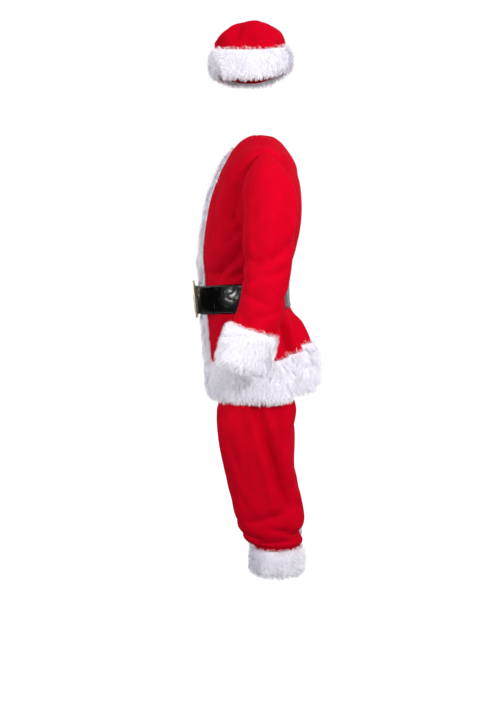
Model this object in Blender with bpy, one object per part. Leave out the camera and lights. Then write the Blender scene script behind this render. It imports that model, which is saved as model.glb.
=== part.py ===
"""A santa suit as it is worn: jacket, belt, trousers and hat, each cloth piece a thin wall.

Lengths are metres.  Heights are written above the floor that the wearer stands on, and an empty
drops every piece so that the origin is at the middle of the neckline, where shoulders carry the
jacket.  The wearer faces -Y and their left arm is at +X.
"""

from collections import namedtuple
from math import acos, cos, degrees, exp, hypot, pi, radians, sin

import bmesh
import bpy
from mathutils import Matrix, Vector

NECK_HEIGHT = 1.540          # middle of the neckline above the wearer's floor
CLOTH = 0.0022               # red felted cloth
LINE = 0.0005                # what lies on a panel stands this far off it
SEAM = 0.0003                # between two pieces sewn edge to edge
BAND_HALF = 0.050            # the front band is 100 mm wide
BELT_THICK = 0.0028
BUCKLE_WIDE, BUCKLE_TALL, BUCKLE_BAR, BUCKLE_THICK = 0.098, 0.103, 0.0095, 0.0040

for old in list(bpy.data.objects):
    bpy.data.objects.remove(old, do_unlink=True)

suit = bpy.data.collections.new("santa_suit")
bpy.context.scene.collection.children.link(suit)
shoulders = bpy.data.objects.new("shoulders", None)
shoulders.location.z = -NECK_HEIGHT
suit.objects.link(shoulders)


# ---- finishes -------------------------------------------------------------------------------

def finish(name, colour, roughness, metallic=0.0):
    material = bpy.data.materials.new(name)
    material.use_nodes = True
    shader = material.node_tree.nodes["Principled BSDF"]
    shader.inputs["Base Color"].default_value = (*colour, 1.0)
    shader.inputs["Roughness"].default_value = roughness
    shader.inputs["Metallic"].default_value = metallic
    return material


RED_CLOTH = finish("red_felted_cloth", (0.70, 0.002, 0.012), 0.85)
WHITE_PLUSH = finish("white_plush", (0.86, 0.85, 0.90), 0.95)
BLACK_VINYL = finish("black_vinyl", (0.008, 0.008, 0.009), 0.30)
PALE_BRASS = finish("pale_brass", (0.78, 0.66, 0.44), 0.28, 1.0)
RED_ELASTIC = finish("red_elastic", (0.45, 0.002, 0.010), 0.80)


# ---- reading tables and making walls --------------------------------------------------------

def along(rows, level):
    """A table's row at a fractional level, on a smooth curve through its rows."""
    first = min(int(level), len(rows) - 2)
    t = level - first
    a, b = rows[max(first - 1, 0)], rows[first]
    c, d = rows[first + 1], rows[min(first + 2, len(rows) - 1)]
    return type(b)(*(
        0.5 * (2 * q + (r - p) * t + (2 * p - 5 * q + 4 * r - s) * t ** 2 + (3 * q - p - 3 * r + s) * t ** 3)
        for p, q, r, s in zip(a, b, c, d)))


def ease(t):
    t = min(max(t, 0.0), 1.0)
    return t * t * (3 - 2 * t)


def signed_power(value, power):
    return abs(value) ** power * (1 if value >= 0 else -1)


def add_object(name, bm, material):
    bm.normal_update()
    mesh = bpy.data.meshes.new(name)
    bm.to_mesh(mesh)
    bm.free()
    mesh.materials.append(material)
    mesh.shade_smooth()
    mesh.set_sharp_from_angle(angle=radians(50))
    piece = bpy.data.objects.new(name, mesh)
    piece.parent = shoulders
    suit.objects.link(piece)
    return piece


def wall(name, grid, material, closed=False, closed_rows=0):
    """A cloth piece.  The grid holds rows of (point, outward): the outer face is at the points and the
    inner one a cloth's thickness behind them.

    closed joins each row's end to its start; closed_rows does so for the first rows alone.
    """
    bm = bmesh.new()
    faces = []
    for depth in (0.0, CLOTH):
        verts = [[bm.verts.new(p - n * depth) for p, n in row] for row in grid]
        for i, row in enumerate(verts):
            if closed:
                row.append(row[0])
            elif i < closed_rows:
                bm.verts.remove(row[-1])
                row[-1] = row[0]
        faces.append(verts)
    outer, inner = faces
    for i in range(len(outer) - 1):
        for j in range(len(outer[i]) - 1):
            bm.faces.new((outer[i][j], outer[i][j + 1], outer[i + 1][j + 1], outer[i + 1][j]))
            bm.faces.new((inner[i][j], inner[i + 1][j], inner[i + 1][j + 1], inner[i][j + 1]))
        if not closed and i >= closed_rows - 1:
            bm.faces.new((outer[i][0], outer[i + 1][0], inner[i + 1][0], inner[i][0]))
            bm.faces.new((outer[i][-1], inner[i][-1], inner[i + 1][-1], outer[i + 1][-1]))
    for i, turn in ((0, 1), (-1, -1)):
        for j in range(len(outer[i]) - 1):
            rim = (outer[i][j], inner[i][j], inner[i][j + 1], outer[i][j + 1])
            bm.faces.new(rim[::turn])
    return add_object(name, bm, material)


def loft(name, sections, material, closed=False):
    """A thick piece: closed sections of like points, joined one to the next and capped if open."""
    bm = bmesh.new()
    rings = [[bm.verts.new(p) for p in section] for section in sections]
    pairs = list(zip(rings, rings[1:])) + ([(rings[-1], rings[0])] if closed else [])
    for near, far in pairs:
        for j in range(len(near)):
            k = (j + 1) % len(near)
            bm.faces.new((near[j], near[k], far[k], far[j]))
    if not closed:
        bm.faces.new(rings[0][::-1])
        bm.faces.new(rings[-1])
    bmesh.ops.recalc_face_normals(bm, faces=bm.faces)
    return add_object(name, bm, material)


def plush(name, stations, depths, lip, material=WHITE_PLUSH, closed=False):
    """A plush strip sewn on a panel.  A station is a column of (point, outward) from one edge to the other;
    depths is the pile's height over each point, and lip how far the pile rolls over the edges."""
    sections = []
    for column in stations:
        under = [p + n * LINE for p, n in column]
        over = [p + n * (LINE + depth) for (p, n), depth in zip(column, depths)]
        first_way = (column[0][0] - column[1][0]).normalized()
        last_way = (column[-1][0] - column[-2][0]).normalized()
        first = under[0] + first_way * lip + column[0][1] * depths[0] * 0.45
        last = under[-1] + last_way * lip + column[-1][1] * depths[-1] * 0.45
        sections.append(under + [last] + over[::-1] + [first])
    return loft(name, sections, material, closed)


# ---- folds ----------------------------------------------------------------------------------

Fold = namedtuple("Fold", "face y_or_x_1 z_1 y_or_x_2 z_2 width depth")
FACES = {"left": (1, 0), "right": (-1, 0), "front": (0, -1), "back": (0, 1)}


def creased(point, outward, folds):
    """The point moved in by each trough, or out by each ridge (negative depth), that it lies under."""
    shift = 0.0
    for fold in folds:
        face = FACES[fold.face]
        facing = outward.x * face[0] + outward.y * face[1]
        if facing <= 0.05:
            continue
        across = point.y if face[0] else point.x
        du, dz = fold.y_or_x_2 - fold.y_or_x_1, fold.z_2 - fold.z_1
        length = hypot(du, dz)
        t = ((across - fold.y_or_x_1) * du + (point.z - fold.z_1) * dz) / length ** 2
        t = min(max(t, 0.0), 1.0)
        away = hypot(across - fold.y_or_x_1 - t * du, point.z - fold.z_1 - t * dz) / fold.width
        shift -= fold.depth * exp(-away ** 2) * min(1.0, facing * 1.6)
    return point + outward * shift


# ---- the jacket's body as one surface, from hem to neckline ---------------------------------

Ring = namedtuple("Ring", "front_z side_z back_z half front_y side_y back_y square")
TORSO = [
    Ring(0.846, 0.848, 0.886, 0.197, -0.123, 0.020, 0.166, 2.3),   # 0 hem
    Ring(0.930, 0.945, 0.985, 0.190, -0.127, 0.016, 0.147, 2.3),   # 1 top of the hem plush
    Ring(1.015, 1.022, 1.045, 0.180, -0.133, 0.008, 0.122, 2.3),   # 2
    Ring(1.068, 1.076, 1.090, 0.169, -0.137, -0.006, 0.094, 2.3),  # 3 belt's lower edge
    Ring(1.144, 1.154, 1.166, 0.167, -0.141, -0.010, 0.090, 2.3),  # 4 belt's upper edge
    Ring(1.195, 1.203, 1.212, 0.177, -0.147, -0.004, 0.102, 2.3),  # 5 cloth bloused over the belt
    Ring(1.240, 1.246, 1.255, 0.183, -0.148, 0.004, 0.113, 2.35),  # 6
    Ring(1.285, 1.287, 1.295, 0.186, -0.144, 0.010, 0.121, 2.4),   # 7
    Ring(1.330, 1.325, 1.340, 0.187, -0.137, 0.016, 0.126, 2.35),  # 8 under the arm
    Ring(1.372, 1.382, 1.388, 0.187, -0.128, 0.019, 0.1265, 2.2),  # 9
    Ring(1.412, 1.440, 1.435, 0.190, -0.116, 0.020, 0.1205, 2.0),  # 10
    Ring(1.446, 1.494, 1.478, 0.198, -0.104, 0.018, 0.1100, 1.8),  # 11 shoulder point
    Ring(1.470, 1.522, 1.510, 0.152, -0.093, 0.012, 0.0920, 1.85), # 12
    Ring(1.487, 1.541, 1.534, 0.111, -0.084, 0.006, 0.0725, 1.95), # 13
    Ring(1.499, 1.551, 1.548, 0.083, -0.077, 0.002, 0.0540, 2.0),  # 14 neckline
]
UNDERARM, SHOULDER, NECKLINE = 8.0, 11.0, 14.0
BELT_LOW, BELT_HIGH = 3.0, 4.0

Flute = namedtuple("Flute", "angle width depth")
SKIRT_FLUTES = [
    Flute(-38, 13, 0.005), Flute(-12, 12, 0.006), Flute(14, 9, -0.004), Flute(36, 8, 0.008),
    Flute(52, 7, -0.007), Flute(66, 7, 0.008), Flute(82, 6, -0.005), Flute(97, 8, 0.007),
    Flute(117, 8, -0.006), Flute(134, 9, 0.008), Flute(160, 11, -0.004), Flute(188, 12, 0.006),
    Flute(219, 12, 0.005),
]
BODY_FOLDS = [
    Fold("left", -0.045, 1.405, -0.060, 1.330, 0.016, 0.006),
    Fold("left", -0.060, 1.330, -0.036, 1.300, 0.015, 0.004),
    Fold("left", -0.036, 1.245, -0.085, 1.195, 0.018, 0.004),
    Fold("left", -0.034, 1.185, -0.068, 1.160, 0.013, 0.006),
    Fold("right", -0.050, 1.395, -0.064, 1.322, 0.017, 0.006),
    Fold("right", -0.030, 1.235, -0.078, 1.202, 0.016, 0.005),
    Fold("right", -0.010, 1.190, -0.062, 1.166, 0.014, 0.006),
    Fold("front", 0.085, 1.380, 0.120, 1.300, 0.018, 0.004),
    Fold("front", -0.088, 1.372, -0.126, 1.290, 0.018, 0.004),
    Fold("front", 0.070, 1.185, 0.130, 1.176, 0.012, 0.004),
    Fold("front", -0.075, 1.188, -0.132, 1.180, 0.012, 0.004),
    Fold("back", -0.140, 1.360, -0.080, 1.260, 0.020, 0.006),
    Fold("back", 0.140, 1.355, 0.070, 1.265, 0.020, 0.006),
    Fold("back", -0.050, 1.215, 0.040, 1.190, 0.016, 0.006),
    Fold("back", 0.060, 1.232, 0.120, 1.200, 0.014, 0.005),
    Fold("back", -0.120, 1.205, -0.060, 1.238, 0.014, 0.005),
]


def body(level, angle, out=0.0):
    """(point, outward) on the jacket's outer face.  The angle is 0 at the left side, a quarter turn at the
    back and minus a quarter turn at the front."""
    ring = along(TORSO, level)
    c, s = cos(angle), sin(angle)
    reach = ring.back_y - ring.side_y if s > 0 else ring.side_y - ring.front_y
    power = 2 / ring.square
    end_z = ring.back_z if s > 0 else ring.front_z
    point = Vector((
        ring.half * signed_power(c, power),
        ring.side_y + reach * signed_power(s, power),
        ring.side_z + (end_z - ring.side_z) * s * s))
    outward = Vector((signed_power(c, 2 - power) / ring.half, signed_power(s, 2 - power) / reach, 0))
    outward.normalize()
    if level < BELT_LOW:
        fullness = ease((BELT_LOW - level) / 1.6)
        turn = (degrees(angle) + 90) % 360 - 90
        point -= outward * fullness * sum(
            flute.depth * exp(-((turn - flute.angle) / flute.width) ** 2) for flute in SKIRT_FLUTES)
    elif BELT_HIGH < level < SHOULDER:
        point = creased(point, outward, BODY_FOLDS)
    return point + outward * out, outward


def skin(surface, row, column, row_step, column_step):
    """(point, outward) on a surface, square to it, from the points just beside it."""
    low_row, high_row = max(row - row_step, 0.0), row + row_step
    up = surface(high_row, column)[0] - surface(low_row, column)[0]
    across = surface(row, column + column_step)[0] - surface(row, column - column_step)[0]
    return surface(row, column)[0], across.cross(up).normalized()


def body_skin(level, angle):
    return skin(body, min(level, NECKLINE - 0.05), angle, 0.04, 0.03)[1]


def angle_at(level, x):
    """The front angle where the body's ring reaches across to x."""
    ring = along(TORSO, level)
    return -acos(min(1.0, abs(x) / ring.half) ** (ring.square / 2)) if x >= 0 else acos(
        min(1.0, abs(x) / ring.half) ** (ring.square / 2)) - pi


# ---- jacket: two fronts and a back ----------------------------------------------------------

ARMHOLE_ROWS = 10
FRONT_HOLE, BACK_HOLE = radians(21), radians(36)     # how far the armhole reaches round, each way
HEM_ROWS = (0, 0.5, 1)
LOWER_ROWS = [*HEM_ROWS, 1.5, 2, 2.5, 3, 3.5, 4, 4.5, 5.2, 6, 7]
BACK_COLUMNS, FRONT_COLUMNS = 16, 6                  # the fronts have 2 more under the band
BAND_COLUMNS = [0.0, BAND_HALF / 2, BAND_HALF]


def armhole(step):
    """(level, front angle, back angle) of the armhole's edge, from under the arm to the shoulder."""
    swing = pi * step / ARMHOLE_ROWS
    middle, reach = (UNDERARM + SHOULDER) / 2, (SHOULDER - UNDERARM) / 2
    spread = sin(swing) ** 1.3 if 0 < step < ARMHOLE_ROWS else 0.0
    return middle - reach * cos(swing), -FRONT_HOLE * spread, BACK_HOLE * spread


BODY_ROWS = (
    [(level, 0.0, 0.0) for level in LOWER_ROWS]
    + [armhole(step) for step in range(ARMHOLE_ROWS + 1)]
    + [(level, 0.0, 0.0) for level in (12.0, 13.0, NECKLINE)])


def front_angles(level, edge):
    """Angles across a left front: under the band at even widths, then evenly on to the side."""
    under = [angle_at(level, x) for x in BAND_COLUMNS]
    return under + [under[-1] + (edge - under[-1]) * k / FRONT_COLUMNS for k in range(1, FRONT_COLUMNS + 1)]


def back_angles(edge):
    return [edge + (pi - 2 * edge) * k / BACK_COLUMNS for k in range(BACK_COLUMNS + 1)]


def parted(level, angles):
    """A row of (point, outward) across the body, with each end drawn in by half a seam."""
    row = [(body(level, angle)[0], body_skin(level, angle)) for angle in angles]
    for end, beside in ((0, 1), (-1, -2)):
        point, outward = row[end]
        row[end] = (point + (row[beside][0] - point).normalized() * SEAM, outward)
    return row


left_rows, right_rows, back_rows = [], [], []
for level, front_edge, back_edge in BODY_ROWS:
    turns = front_angles(level, front_edge)
    left_rows.append(parted(level, turns))
    right_rows.append(parted(level, [-pi - turn for turn in reversed(turns)]))
    back_rows.append(parted(level, back_angles(back_edge)))
wall("jacket_front_left", left_rows, RED_CLOTH)
wall("jacket_front_right", right_rows, RED_CLOTH)
wall("jacket_back", back_rows, RED_CLOTH)


# ---- jacket: plush band down the front and plush hem ----------------------------------------

Pile = namedtuple("Pile", "level depth")
BAND_PILE = [
    Pile(0, 0.018), Pile(1, 0.021), Pile(2, 0.024), Pile(2.8, 0.0225), Pile(3, 0.0185), Pile(3.5, 0.0195),
    Pile(4, 0.0205), Pile(4.2, 0.0195), Pile(5, 0.0165), Pile(6, 0.012), Pile(7, 0.010), Pile(9, 0.010),
    Pile(14, 0.010),
]


def pile_at(level):
    for low, high in zip(BAND_PILE, BAND_PILE[1:]):
        if level <= high.level:
            return low.depth + (high.depth - low.depth) * (level - low.level) / (high.level - low.level)
    return BAND_PILE[-1].depth


BAND_SHARES = (0.62, 0.96, 1.0, 0.96, 0.62)          # the pile's depth across the band
HEM_LIP = 0.008                                      # how far the hem's pile hangs below the cloth
LOWEST_SHRINK = 0.82
band_sections = []
for level, _, _ in BODY_ROWS:
    depth = pile_at(level)
    column = [body(level, angle_at(level, side * x)) for side, x in zip(
        (-1, -1, 1, 1, 1), (*reversed(BAND_COLUMNS), *BAND_COLUMNS[1:]))]
    column[2] = (column[2][0], Vector((0, -1, 0)))
    under = [p + n * LINE for p, n in column]
    over = [p + n * (LINE + depth * share) for (p, n), share in zip(column, BAND_SHARES)]
    band_sections.append(under + over[::-1])
lowest = [p - Vector((0, 0, HEM_LIP)) for p in band_sections[0]]
middle = sum(lowest, Vector()) / len(lowest)
lowest = [middle + (p - middle) * LOWEST_SHRINK for p in lowest]
loft("front_band", [lowest] + band_sections, WHITE_PLUSH)

HEM_PILE = (0.018, 0.021, 0.016)
HEM_END = 0.0012                                     # the hem's ends stop this far from the band
hem_stations = []
left_turns = [front_angles(level, 0.0)[2:] for level in HEM_ROWS]
for k in range(FRONT_COLUMNS + 1):
    hem_stations.append([body(level, turns[k]) for level, turns in zip(HEM_ROWS, left_turns)])
for turn in back_angles(0.0)[1:-1]:
    hem_stations.append([body(level, turn) for level in HEM_ROWS])
for k in reversed(range(FRONT_COLUMNS + 1)):
    hem_stations.append([body(level, -pi - turns[k]) for level, turns in zip(HEM_ROWS, left_turns)])
hem_stations[0] = [(p + Vector((HEM_END, 0, 0)), n) for p, n in hem_stations[0]]
hem_stations[-1] = [(p - Vector((HEM_END, 0, 0)), n) for p, n in hem_stations[-1]]
plush("hem_plush", hem_stations, HEM_PILE, HEM_LIP)


# ---- jacket: sleeves and their plush cuffs --------------------------------------------------

Cuff = namedtuple("Cuff", "outer_x outer_z inner_x inner_z front_y back_y tilt")
SLEEVE = [
    Cuff(0.223, 1.494, 0.192, 1.320, -0.040, 0.098, 0.000),
    Cuff(0.250, 1.472, 0.195, 1.310, -0.036, 0.103, 0.000),
    Cuff(0.272, 1.436, 0.196, 1.298, -0.033, 0.106, 0.000),
    Cuff(0.291, 1.385, 0.197, 1.280, -0.031, 0.106, 0.000),
    Cuff(0.306, 1.325, 0.198, 1.253, -0.033, 0.102, 0.000),
    Cuff(0.316, 1.265, 0.200, 1.218, -0.036, 0.096, 0.000),
    Cuff(0.323, 1.205, 0.204, 1.176, -0.037, 0.090, 0.003),
    Cuff(0.329, 1.150, 0.211, 1.133, -0.040, 0.081, 0.006),
    Cuff(0.335, 1.098, 0.219, 1.088, -0.047, 0.069, 0.011),
    Cuff(0.341, 1.050, 0.230, 1.043, -0.063, 0.048, 0.016),
    Cuff(0.345, 1.005, 0.241, 0.998, -0.076, 0.031, 0.018),
    Cuff(0.347, 0.947, 0.245, 0.942, -0.088, 0.018, 0.017),
]
SLEEVE_COLUMNS = 2 * ARMHOLE_ROWS
CUFF_TOP = 9.3
SLEEVE_ROWS = [0, 0.5, 1, 1.6, 2.2, 2.9, 3.6, 4.3, 5, 5.6, 6.2, 6.8, 7.4, 8, 8.6, CUFF_TOP, 10.2, 11]
SLEEVE_FOLDS = [
    Fold("left", 0.000, 1.455, -0.022, 1.380, 0.013, 0.004),
    Fold("left", 0.070, 1.395, 0.098, 1.330, 0.018, 0.005),
    Fold("left", 0.088, 1.250, 0.040, 1.215, 0.015, 0.005),
    Fold("left", 0.080, 1.180, 0.030, 1.172, 0.013, 0.004),
    Fold("left", -0.030, 1.130, 0.020, 1.105, 0.014, 0.004),
    Fold("front", 0.235, 1.225, 0.290, 1.205, 0.014, 0.006),
    Fold("front", 0.240, 1.180, 0.300, 1.165, 0.012, 0.005),
    Fold("back", 0.225, 1.300, 0.270, 1.255, 0.018, 0.006),
    Fold("back", 0.240, 1.130, 0.300, 1.112, 0.013, 0.005),
]
SLEEVE_SQUARE = 2.15


def armhole_loop():
    """The armhole's edge as a loop, from under the arm up the front and down the back."""
    up = [body(level, front)[0] for level, front, _ in map(armhole, range(ARMHOLE_ROWS + 1))]
    down = [body(level, back)[0] for level, _, back in map(armhole, range(ARMHOLE_ROWS - 1, 0, -1))]
    loop = up + down
    middle = sum(loop, Vector()) / len(loop)
    return [p + (middle - p).normalized() * 2 * SEAM + Vector((SEAM, 0, 0)) for p in loop]


def sleeve(row, column, shift=0.0):
    """(point, outward) on the left sleeve.  Column 0 is under the arm, and the front comes next."""
    cuff = along(SLEEVE, row)
    turn = 2 * pi * (column + shift) / SLEEVE_COLUMNS
    c, s = cos(turn), sin(turn)
    power = 2 / SLEEVE_SQUARE
    middle = Vector(((cuff.outer_x + cuff.inner_x) / 2, (cuff.front_y + cuff.back_y) / 2,
                     (cuff.outer_z + cuff.inner_z) / 2))
    inwards = Vector((cuff.inner_x - cuff.outer_x, 0, cuff.inner_z - cuff.outer_z)) / 2
    forwards = Vector((0, (cuff.front_y - cuff.back_y) / 2, cuff.tilt))
    point = middle + inwards * signed_power(c, power) + forwards * signed_power(s, power)
    outward = (inwards.normalized() * signed_power(c, 2 - power)
               + forwards.normalized() * signed_power(s, 2 - power)).normalized()
    if row < CUFF_TOP:
        point = creased(point, outward, SLEEVE_FOLDS)
    return point, outward


def with_outward(rows):
    """Rows of points round a tube, from its low end up, given the direction square to them."""
    found = []
    for i, row in enumerate(rows):
        low, high = rows[max(i - 1, 0)], rows[min(i + 1, len(rows) - 1)]
        across = [row[(j + 1) % len(row)] - row[j - 1] for j in range(len(row))]
        found.append([(p, a.cross(u - d).normalized()) for p, a, u, d in zip(row, across, high, low)])
    return found


def mirrored(rows):
    return [[(Vector((-p.x, p.y, p.z)), Vector((-n.x, n.y, n.z))) for p, n in row][::-1] for row in rows]


hole = armhole_loop()
sleeve_rows = []
for row in SLEEVE_ROWS:
    ring = [sleeve(row, column)[0] for column in range(SLEEVE_COLUMNS)]
    blend = ease(row / 2.2)
    sleeve_rows.append([edge.lerp(p, blend) for edge, p in zip(hole, ring)])
sleeve_rows = with_outward(sleeve_rows[::-1])
wall("sleeve_left", sleeve_rows, RED_CLOTH, closed=True)
wall("sleeve_right", mirrored(sleeve_rows), RED_CLOTH, closed=True)

CUFF_ROWS = [11, 10.2, CUFF_TOP]
CUFF_PILE, CUFF_LIP = (0.026, 0.024, 0.014), 0.008
cuff_stations = [[sleeve(row, column) for row in CUFF_ROWS] for column in range(SLEEVE_COLUMNS)]
plush("sleeve_cuff_left", cuff_stations, CUFF_PILE, CUFF_LIP, closed=True)
right_stations = [column[::-1] for column in mirrored(cuff_stations)]
plush("sleeve_cuff_right", right_stations, CUFF_PILE, CUFF_LIP, closed=True)


# ---- belt: one strap, from the buckle's bar round the body and back over itself ----------------

Lift = namedtuple("Lift", "x clear")
BAND_LIFT = [
    Lift(0.0, 0.0215), Lift(0.030, 0.0213), Lift(0.048, 0.0195), Lift(0.066, 0.0130), Lift(0.085, 0.0070),
    Lift(0.105, 0.0026), Lift(0.125, 0.0004), Lift(0.150, 0.0),
]
BELT_LEVELS = (3.0, 3.5, 4.0)
STRAP_LEAN = 0.050           # how far forward, over its height, the strap leans where it is lifted
BUCKLE_Z, BUCKLE_LEAN = 1.108, 0.105


def lifted(x):
    """How far the strap stands off the fronts at x, where it crosses the band."""
    x = abs(x)
    for near, far in zip(BAND_LIFT, BAND_LIFT[1:]):
        if x <= far.x:
            return near.clear + (far.clear - near.clear) * (x - near.x) / (far.x - near.x)
    return 0.0


def strap(angles, layer, extra=0.0):
    """The strap's inner face at an angle for each of its levels, from its lower edge to its upper one."""
    column = []
    for level, angle in zip(BELT_LEVELS, angles):
        point, outward = body(level, angle)
        rise = lifted(point.x) if sin(angle) < 0 else 0.0
        lean = STRAP_LEAN * (point.z - BUCKLE_Z) * rise / BAND_LIFT[0].clear
        forward = Vector((0, -1, 0)) * (rise + lean + extra)
        column.append((point + outward * (LINE + layer) + forward, outward))
    return column


def strap_at(x, layer=0.0, extra=0.0):
    return strap([angle_at(level, x) for level in BELT_LEVELS], layer, extra)


def strip(name, columns, material):
    """A strap from columns of (point, outward) along its length."""
    sections = []
    for column in columns:
        sections.append([p for p, _ in column] + [p + n * BELT_THICK for p, n in reversed(column)])
    return loft(name, sections, material)


BAR_X = 0.004                # the strap's sewn end stops beside the buckle's centre bar
FRONT_STEPS = (0.020, 0.035, 0.050, 0.066, 0.085)
TAIL_GAP = BELT_THICK + 0.0007
TAIL_STEPS = (0.030, 0.046, 0.058, 0.072, 0.088, 0.104, 0.118)
SIDE_COLUMNS = range(4, FRONT_COLUMNS + 3)
left_sides = [[front_angles(level, 0.0)[k] for level in BELT_LEVELS] for k in SIDE_COLUMNS]
around = left_sides + [[turn] * 3 for turn in back_angles(0.0)[1:-1]]
around += [[-pi - turn for turn in turns] for turns in reversed(left_sides)]
CROSSING = [                 # the strap's free end climbs over the centre bar
    Lift(-0.0200, 0.0050), Lift(-0.0085, 0.0102), Lift(0.0, 0.0106), Lift(0.0085, 0.0103),
    Lift(0.0200, 0.0076),
]
inner_layer = [strap_at(x) for x in (BAR_X, *FRONT_STEPS)]
inner_layer += [strap(turns, 0.0) for turns in around]
inner_layer += [strap_at(-x) for x in reversed(FRONT_STEPS)]
crossing = [strap_at(step.x, 0.0, step.clear) for step in CROSSING]
tail = [strap_at(x, TAIL_GAP) for x in TAIL_STEPS]
belt = strip("belt", inner_layer + crossing + tail, BLACK_VINYL)


def rounded_loop(half_x, half_z, radius, middle_x=0.0, steps=3):
    """Corner points of a rounded rectangle, counter-clockwise."""
    loop = []
    for sx, sz, turn in ((1, 1, 0), (-1, 1, 90), (-1, -1, 180), (1, -1, 270)):
        for k in range(steps + 1):
            angle = radians(turn + 90 * k / steps)
            loop.append((middle_x + sx * (half_x - radius) + radius * cos(angle),
                         sz * (half_z - radius) + radius * sin(angle)))
    return loop


def plate(name, loops, thickness, material):
    """A flat outline with holes, of the given thickness, lying in its own X-Y plane."""
    curve = bpy.data.curves.new(name, "CURVE")
    curve.dimensions = "2D"
    curve.fill_mode = "BOTH"
    curve.extrude = thickness / 2
    for loop in loops:
        spline = curve.splines.new("POLY")
        spline.points.add(len(loop) - 1)
        for point, (x, z) in zip(spline.points, loop):
            point.co = (x, z, 0, 1)
        spline.use_cyclic_u = True
    curve.materials.append(material)
    piece = bpy.data.objects.new(name, curve)
    piece.parent = shoulders
    suit.objects.link(piece)
    return piece


CENTRE_BAR_HALF = 0.0025
CORNER, WINDOW_CORNER = 0.007, 0.004
half_wide, half_tall = BUCKLE_WIDE / 2, BUCKLE_TALL / 2
window = (half_wide - BUCKLE_BAR - CENTRE_BAR_HALF) / 2
frame_piece = plate("buckle_frame", [
    rounded_loop(half_wide, half_tall, CORNER),
    rounded_loop(window, half_tall - BUCKLE_BAR, WINDOW_CORNER, CENTRE_BAR_HALF + window)[::-1],
    rounded_loop(window, half_tall - BUCKLE_BAR, WINDOW_CORNER, -CENTRE_BAR_HALF - window)[::-1],
], BUCKLE_THICK, PALE_BRASS)
BUCKLE_AT = Vector((0, -0.1690, BUCKLE_Z))
BUCKLE_TURN = Matrix.Rotation(radians(90) + BUCKLE_LEAN, 4, "X")
frame_piece.matrix_local = Matrix.Translation(BUCKLE_AT) @ BUCKLE_TURN

# The prong starts at the centre bar, comes out through the strap's hole and lies on the frame's far side.
PRONG_THICK = 0.0036
PRONG_PATH = [
    (-0.0050, -0.1688), (-0.0085, -0.1710), (-0.0125, -0.1737), (-0.0190, -0.1752), (-0.0300, -0.1751),
    (-0.0400, -0.1741), (-0.0475, -0.1736), (-0.0515, -0.1728),
]
prong_curve = bpy.data.curves.new("buckle_prong", "CURVE")
prong_curve.dimensions = "3D"
prong_curve.bevel_depth = PRONG_THICK / 2
prong_curve.bevel_resolution = 2
prong_curve.use_fill_caps = True
spline = prong_curve.splines.new("POLY")
spline.points.add(len(PRONG_PATH) - 1)
for point, (x, y) in zip(spline.points, PRONG_PATH):
    point.co = (x, y, BUCKLE_AT.z, 1)
prong_curve.materials.append(PALE_BRASS)
prong = bpy.data.objects.new("buckle_prong", prong_curve)
prong.parent = shoulders
suit.objects.link(prong)

PRONG_HOLE_SIZE = (0.0145, 0.0140, 0.0060)
cutters = bpy.data.collections.new("cutters")
bpy.context.scene.collection.children.link(cutters)
bm = bmesh.new()
bmesh.ops.create_cube(bm, size=1.0)
bmesh.ops.scale(bm, verts=bm.verts, vec=PRONG_HOLE_SIZE)
hole_mesh = bpy.data.meshes.new("prong_hole")
bm.to_mesh(hole_mesh)
bm.free()
prong_hole = bpy.data.objects.new("prong_hole", hole_mesh)
prong_hole.parent = shoulders
prong_hole.location = (-0.0112, -0.1720, BUCKLE_Z)
prong_hole.hide_render = True
prong_hole.display_type = "WIRE"
cutters.objects.link(prong_hole)
cut = belt.modifiers.new("prong_hole", "BOOLEAN")
cut.operation = "DIFFERENCE"
cut.object = prong_hole


# ---- trousers ---------------------------------------------------------------------------------

Leg = namedtuple("Leg", "z middle_x half_x front_y back_y")
LEGS = [
    Leg(0.376, 0.130, 0.061, -0.004, 0.118),
    Leg(0.412, 0.130, 0.061, -0.004, 0.118),
    Leg(0.444, 0.130, 0.063, -0.006, 0.120),
    Leg(0.458, 0.130, 0.076, -0.028, 0.126),
    Leg(0.478, 0.130, 0.080, -0.044, 0.119),
    Leg(0.502, 0.129, 0.083, -0.055, 0.130),
    Leg(0.540, 0.128, 0.084, -0.065, 0.127),
    Leg(0.600, 0.124, 0.085, -0.075, 0.114),
    Leg(0.660, 0.119, 0.087, -0.086, 0.104),
    Leg(0.720, 0.113, 0.090, -0.099, 0.106),
    Leg(0.770, 0.1030, 0.0930, -0.107, 0.109),
    Leg(0.805, 0.0930, 0.0925, -0.108, 0.111),
    Leg(0.850, 0.0880, 0.0875, -0.106, 0.112),
    Leg(0.900, 0.0860, 0.0855, -0.105, 0.112),
    Leg(0.960, 0.0840, 0.0835, -0.107, 0.106),
    Leg(1.020, 0.0805, 0.0800, -0.115, 0.094),
    Leg(1.045, 0.0800, 0.0795, -0.120, 0.088),
]
FORK, SEAT_JOINED = 11, 13.2         # rows where the legs part and where the rise is straight
LEG_ROWS = [0, 1, 1.6, 2, 2.5, 3, 3.5, 4, 4.5, 5, 5.5, 6, 7, 8, 9, 10, FORK, 11.6, 12.3, 13.2, 14, 15, 16]
LEG_COLUMNS = 20
LEG_SQUARE, SEAT_SQUARE = 2.1, 2.3
WAIST_LEVELS = (3.0, 3.5)            # the waistband lies inside the jacket, under the belt
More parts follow.
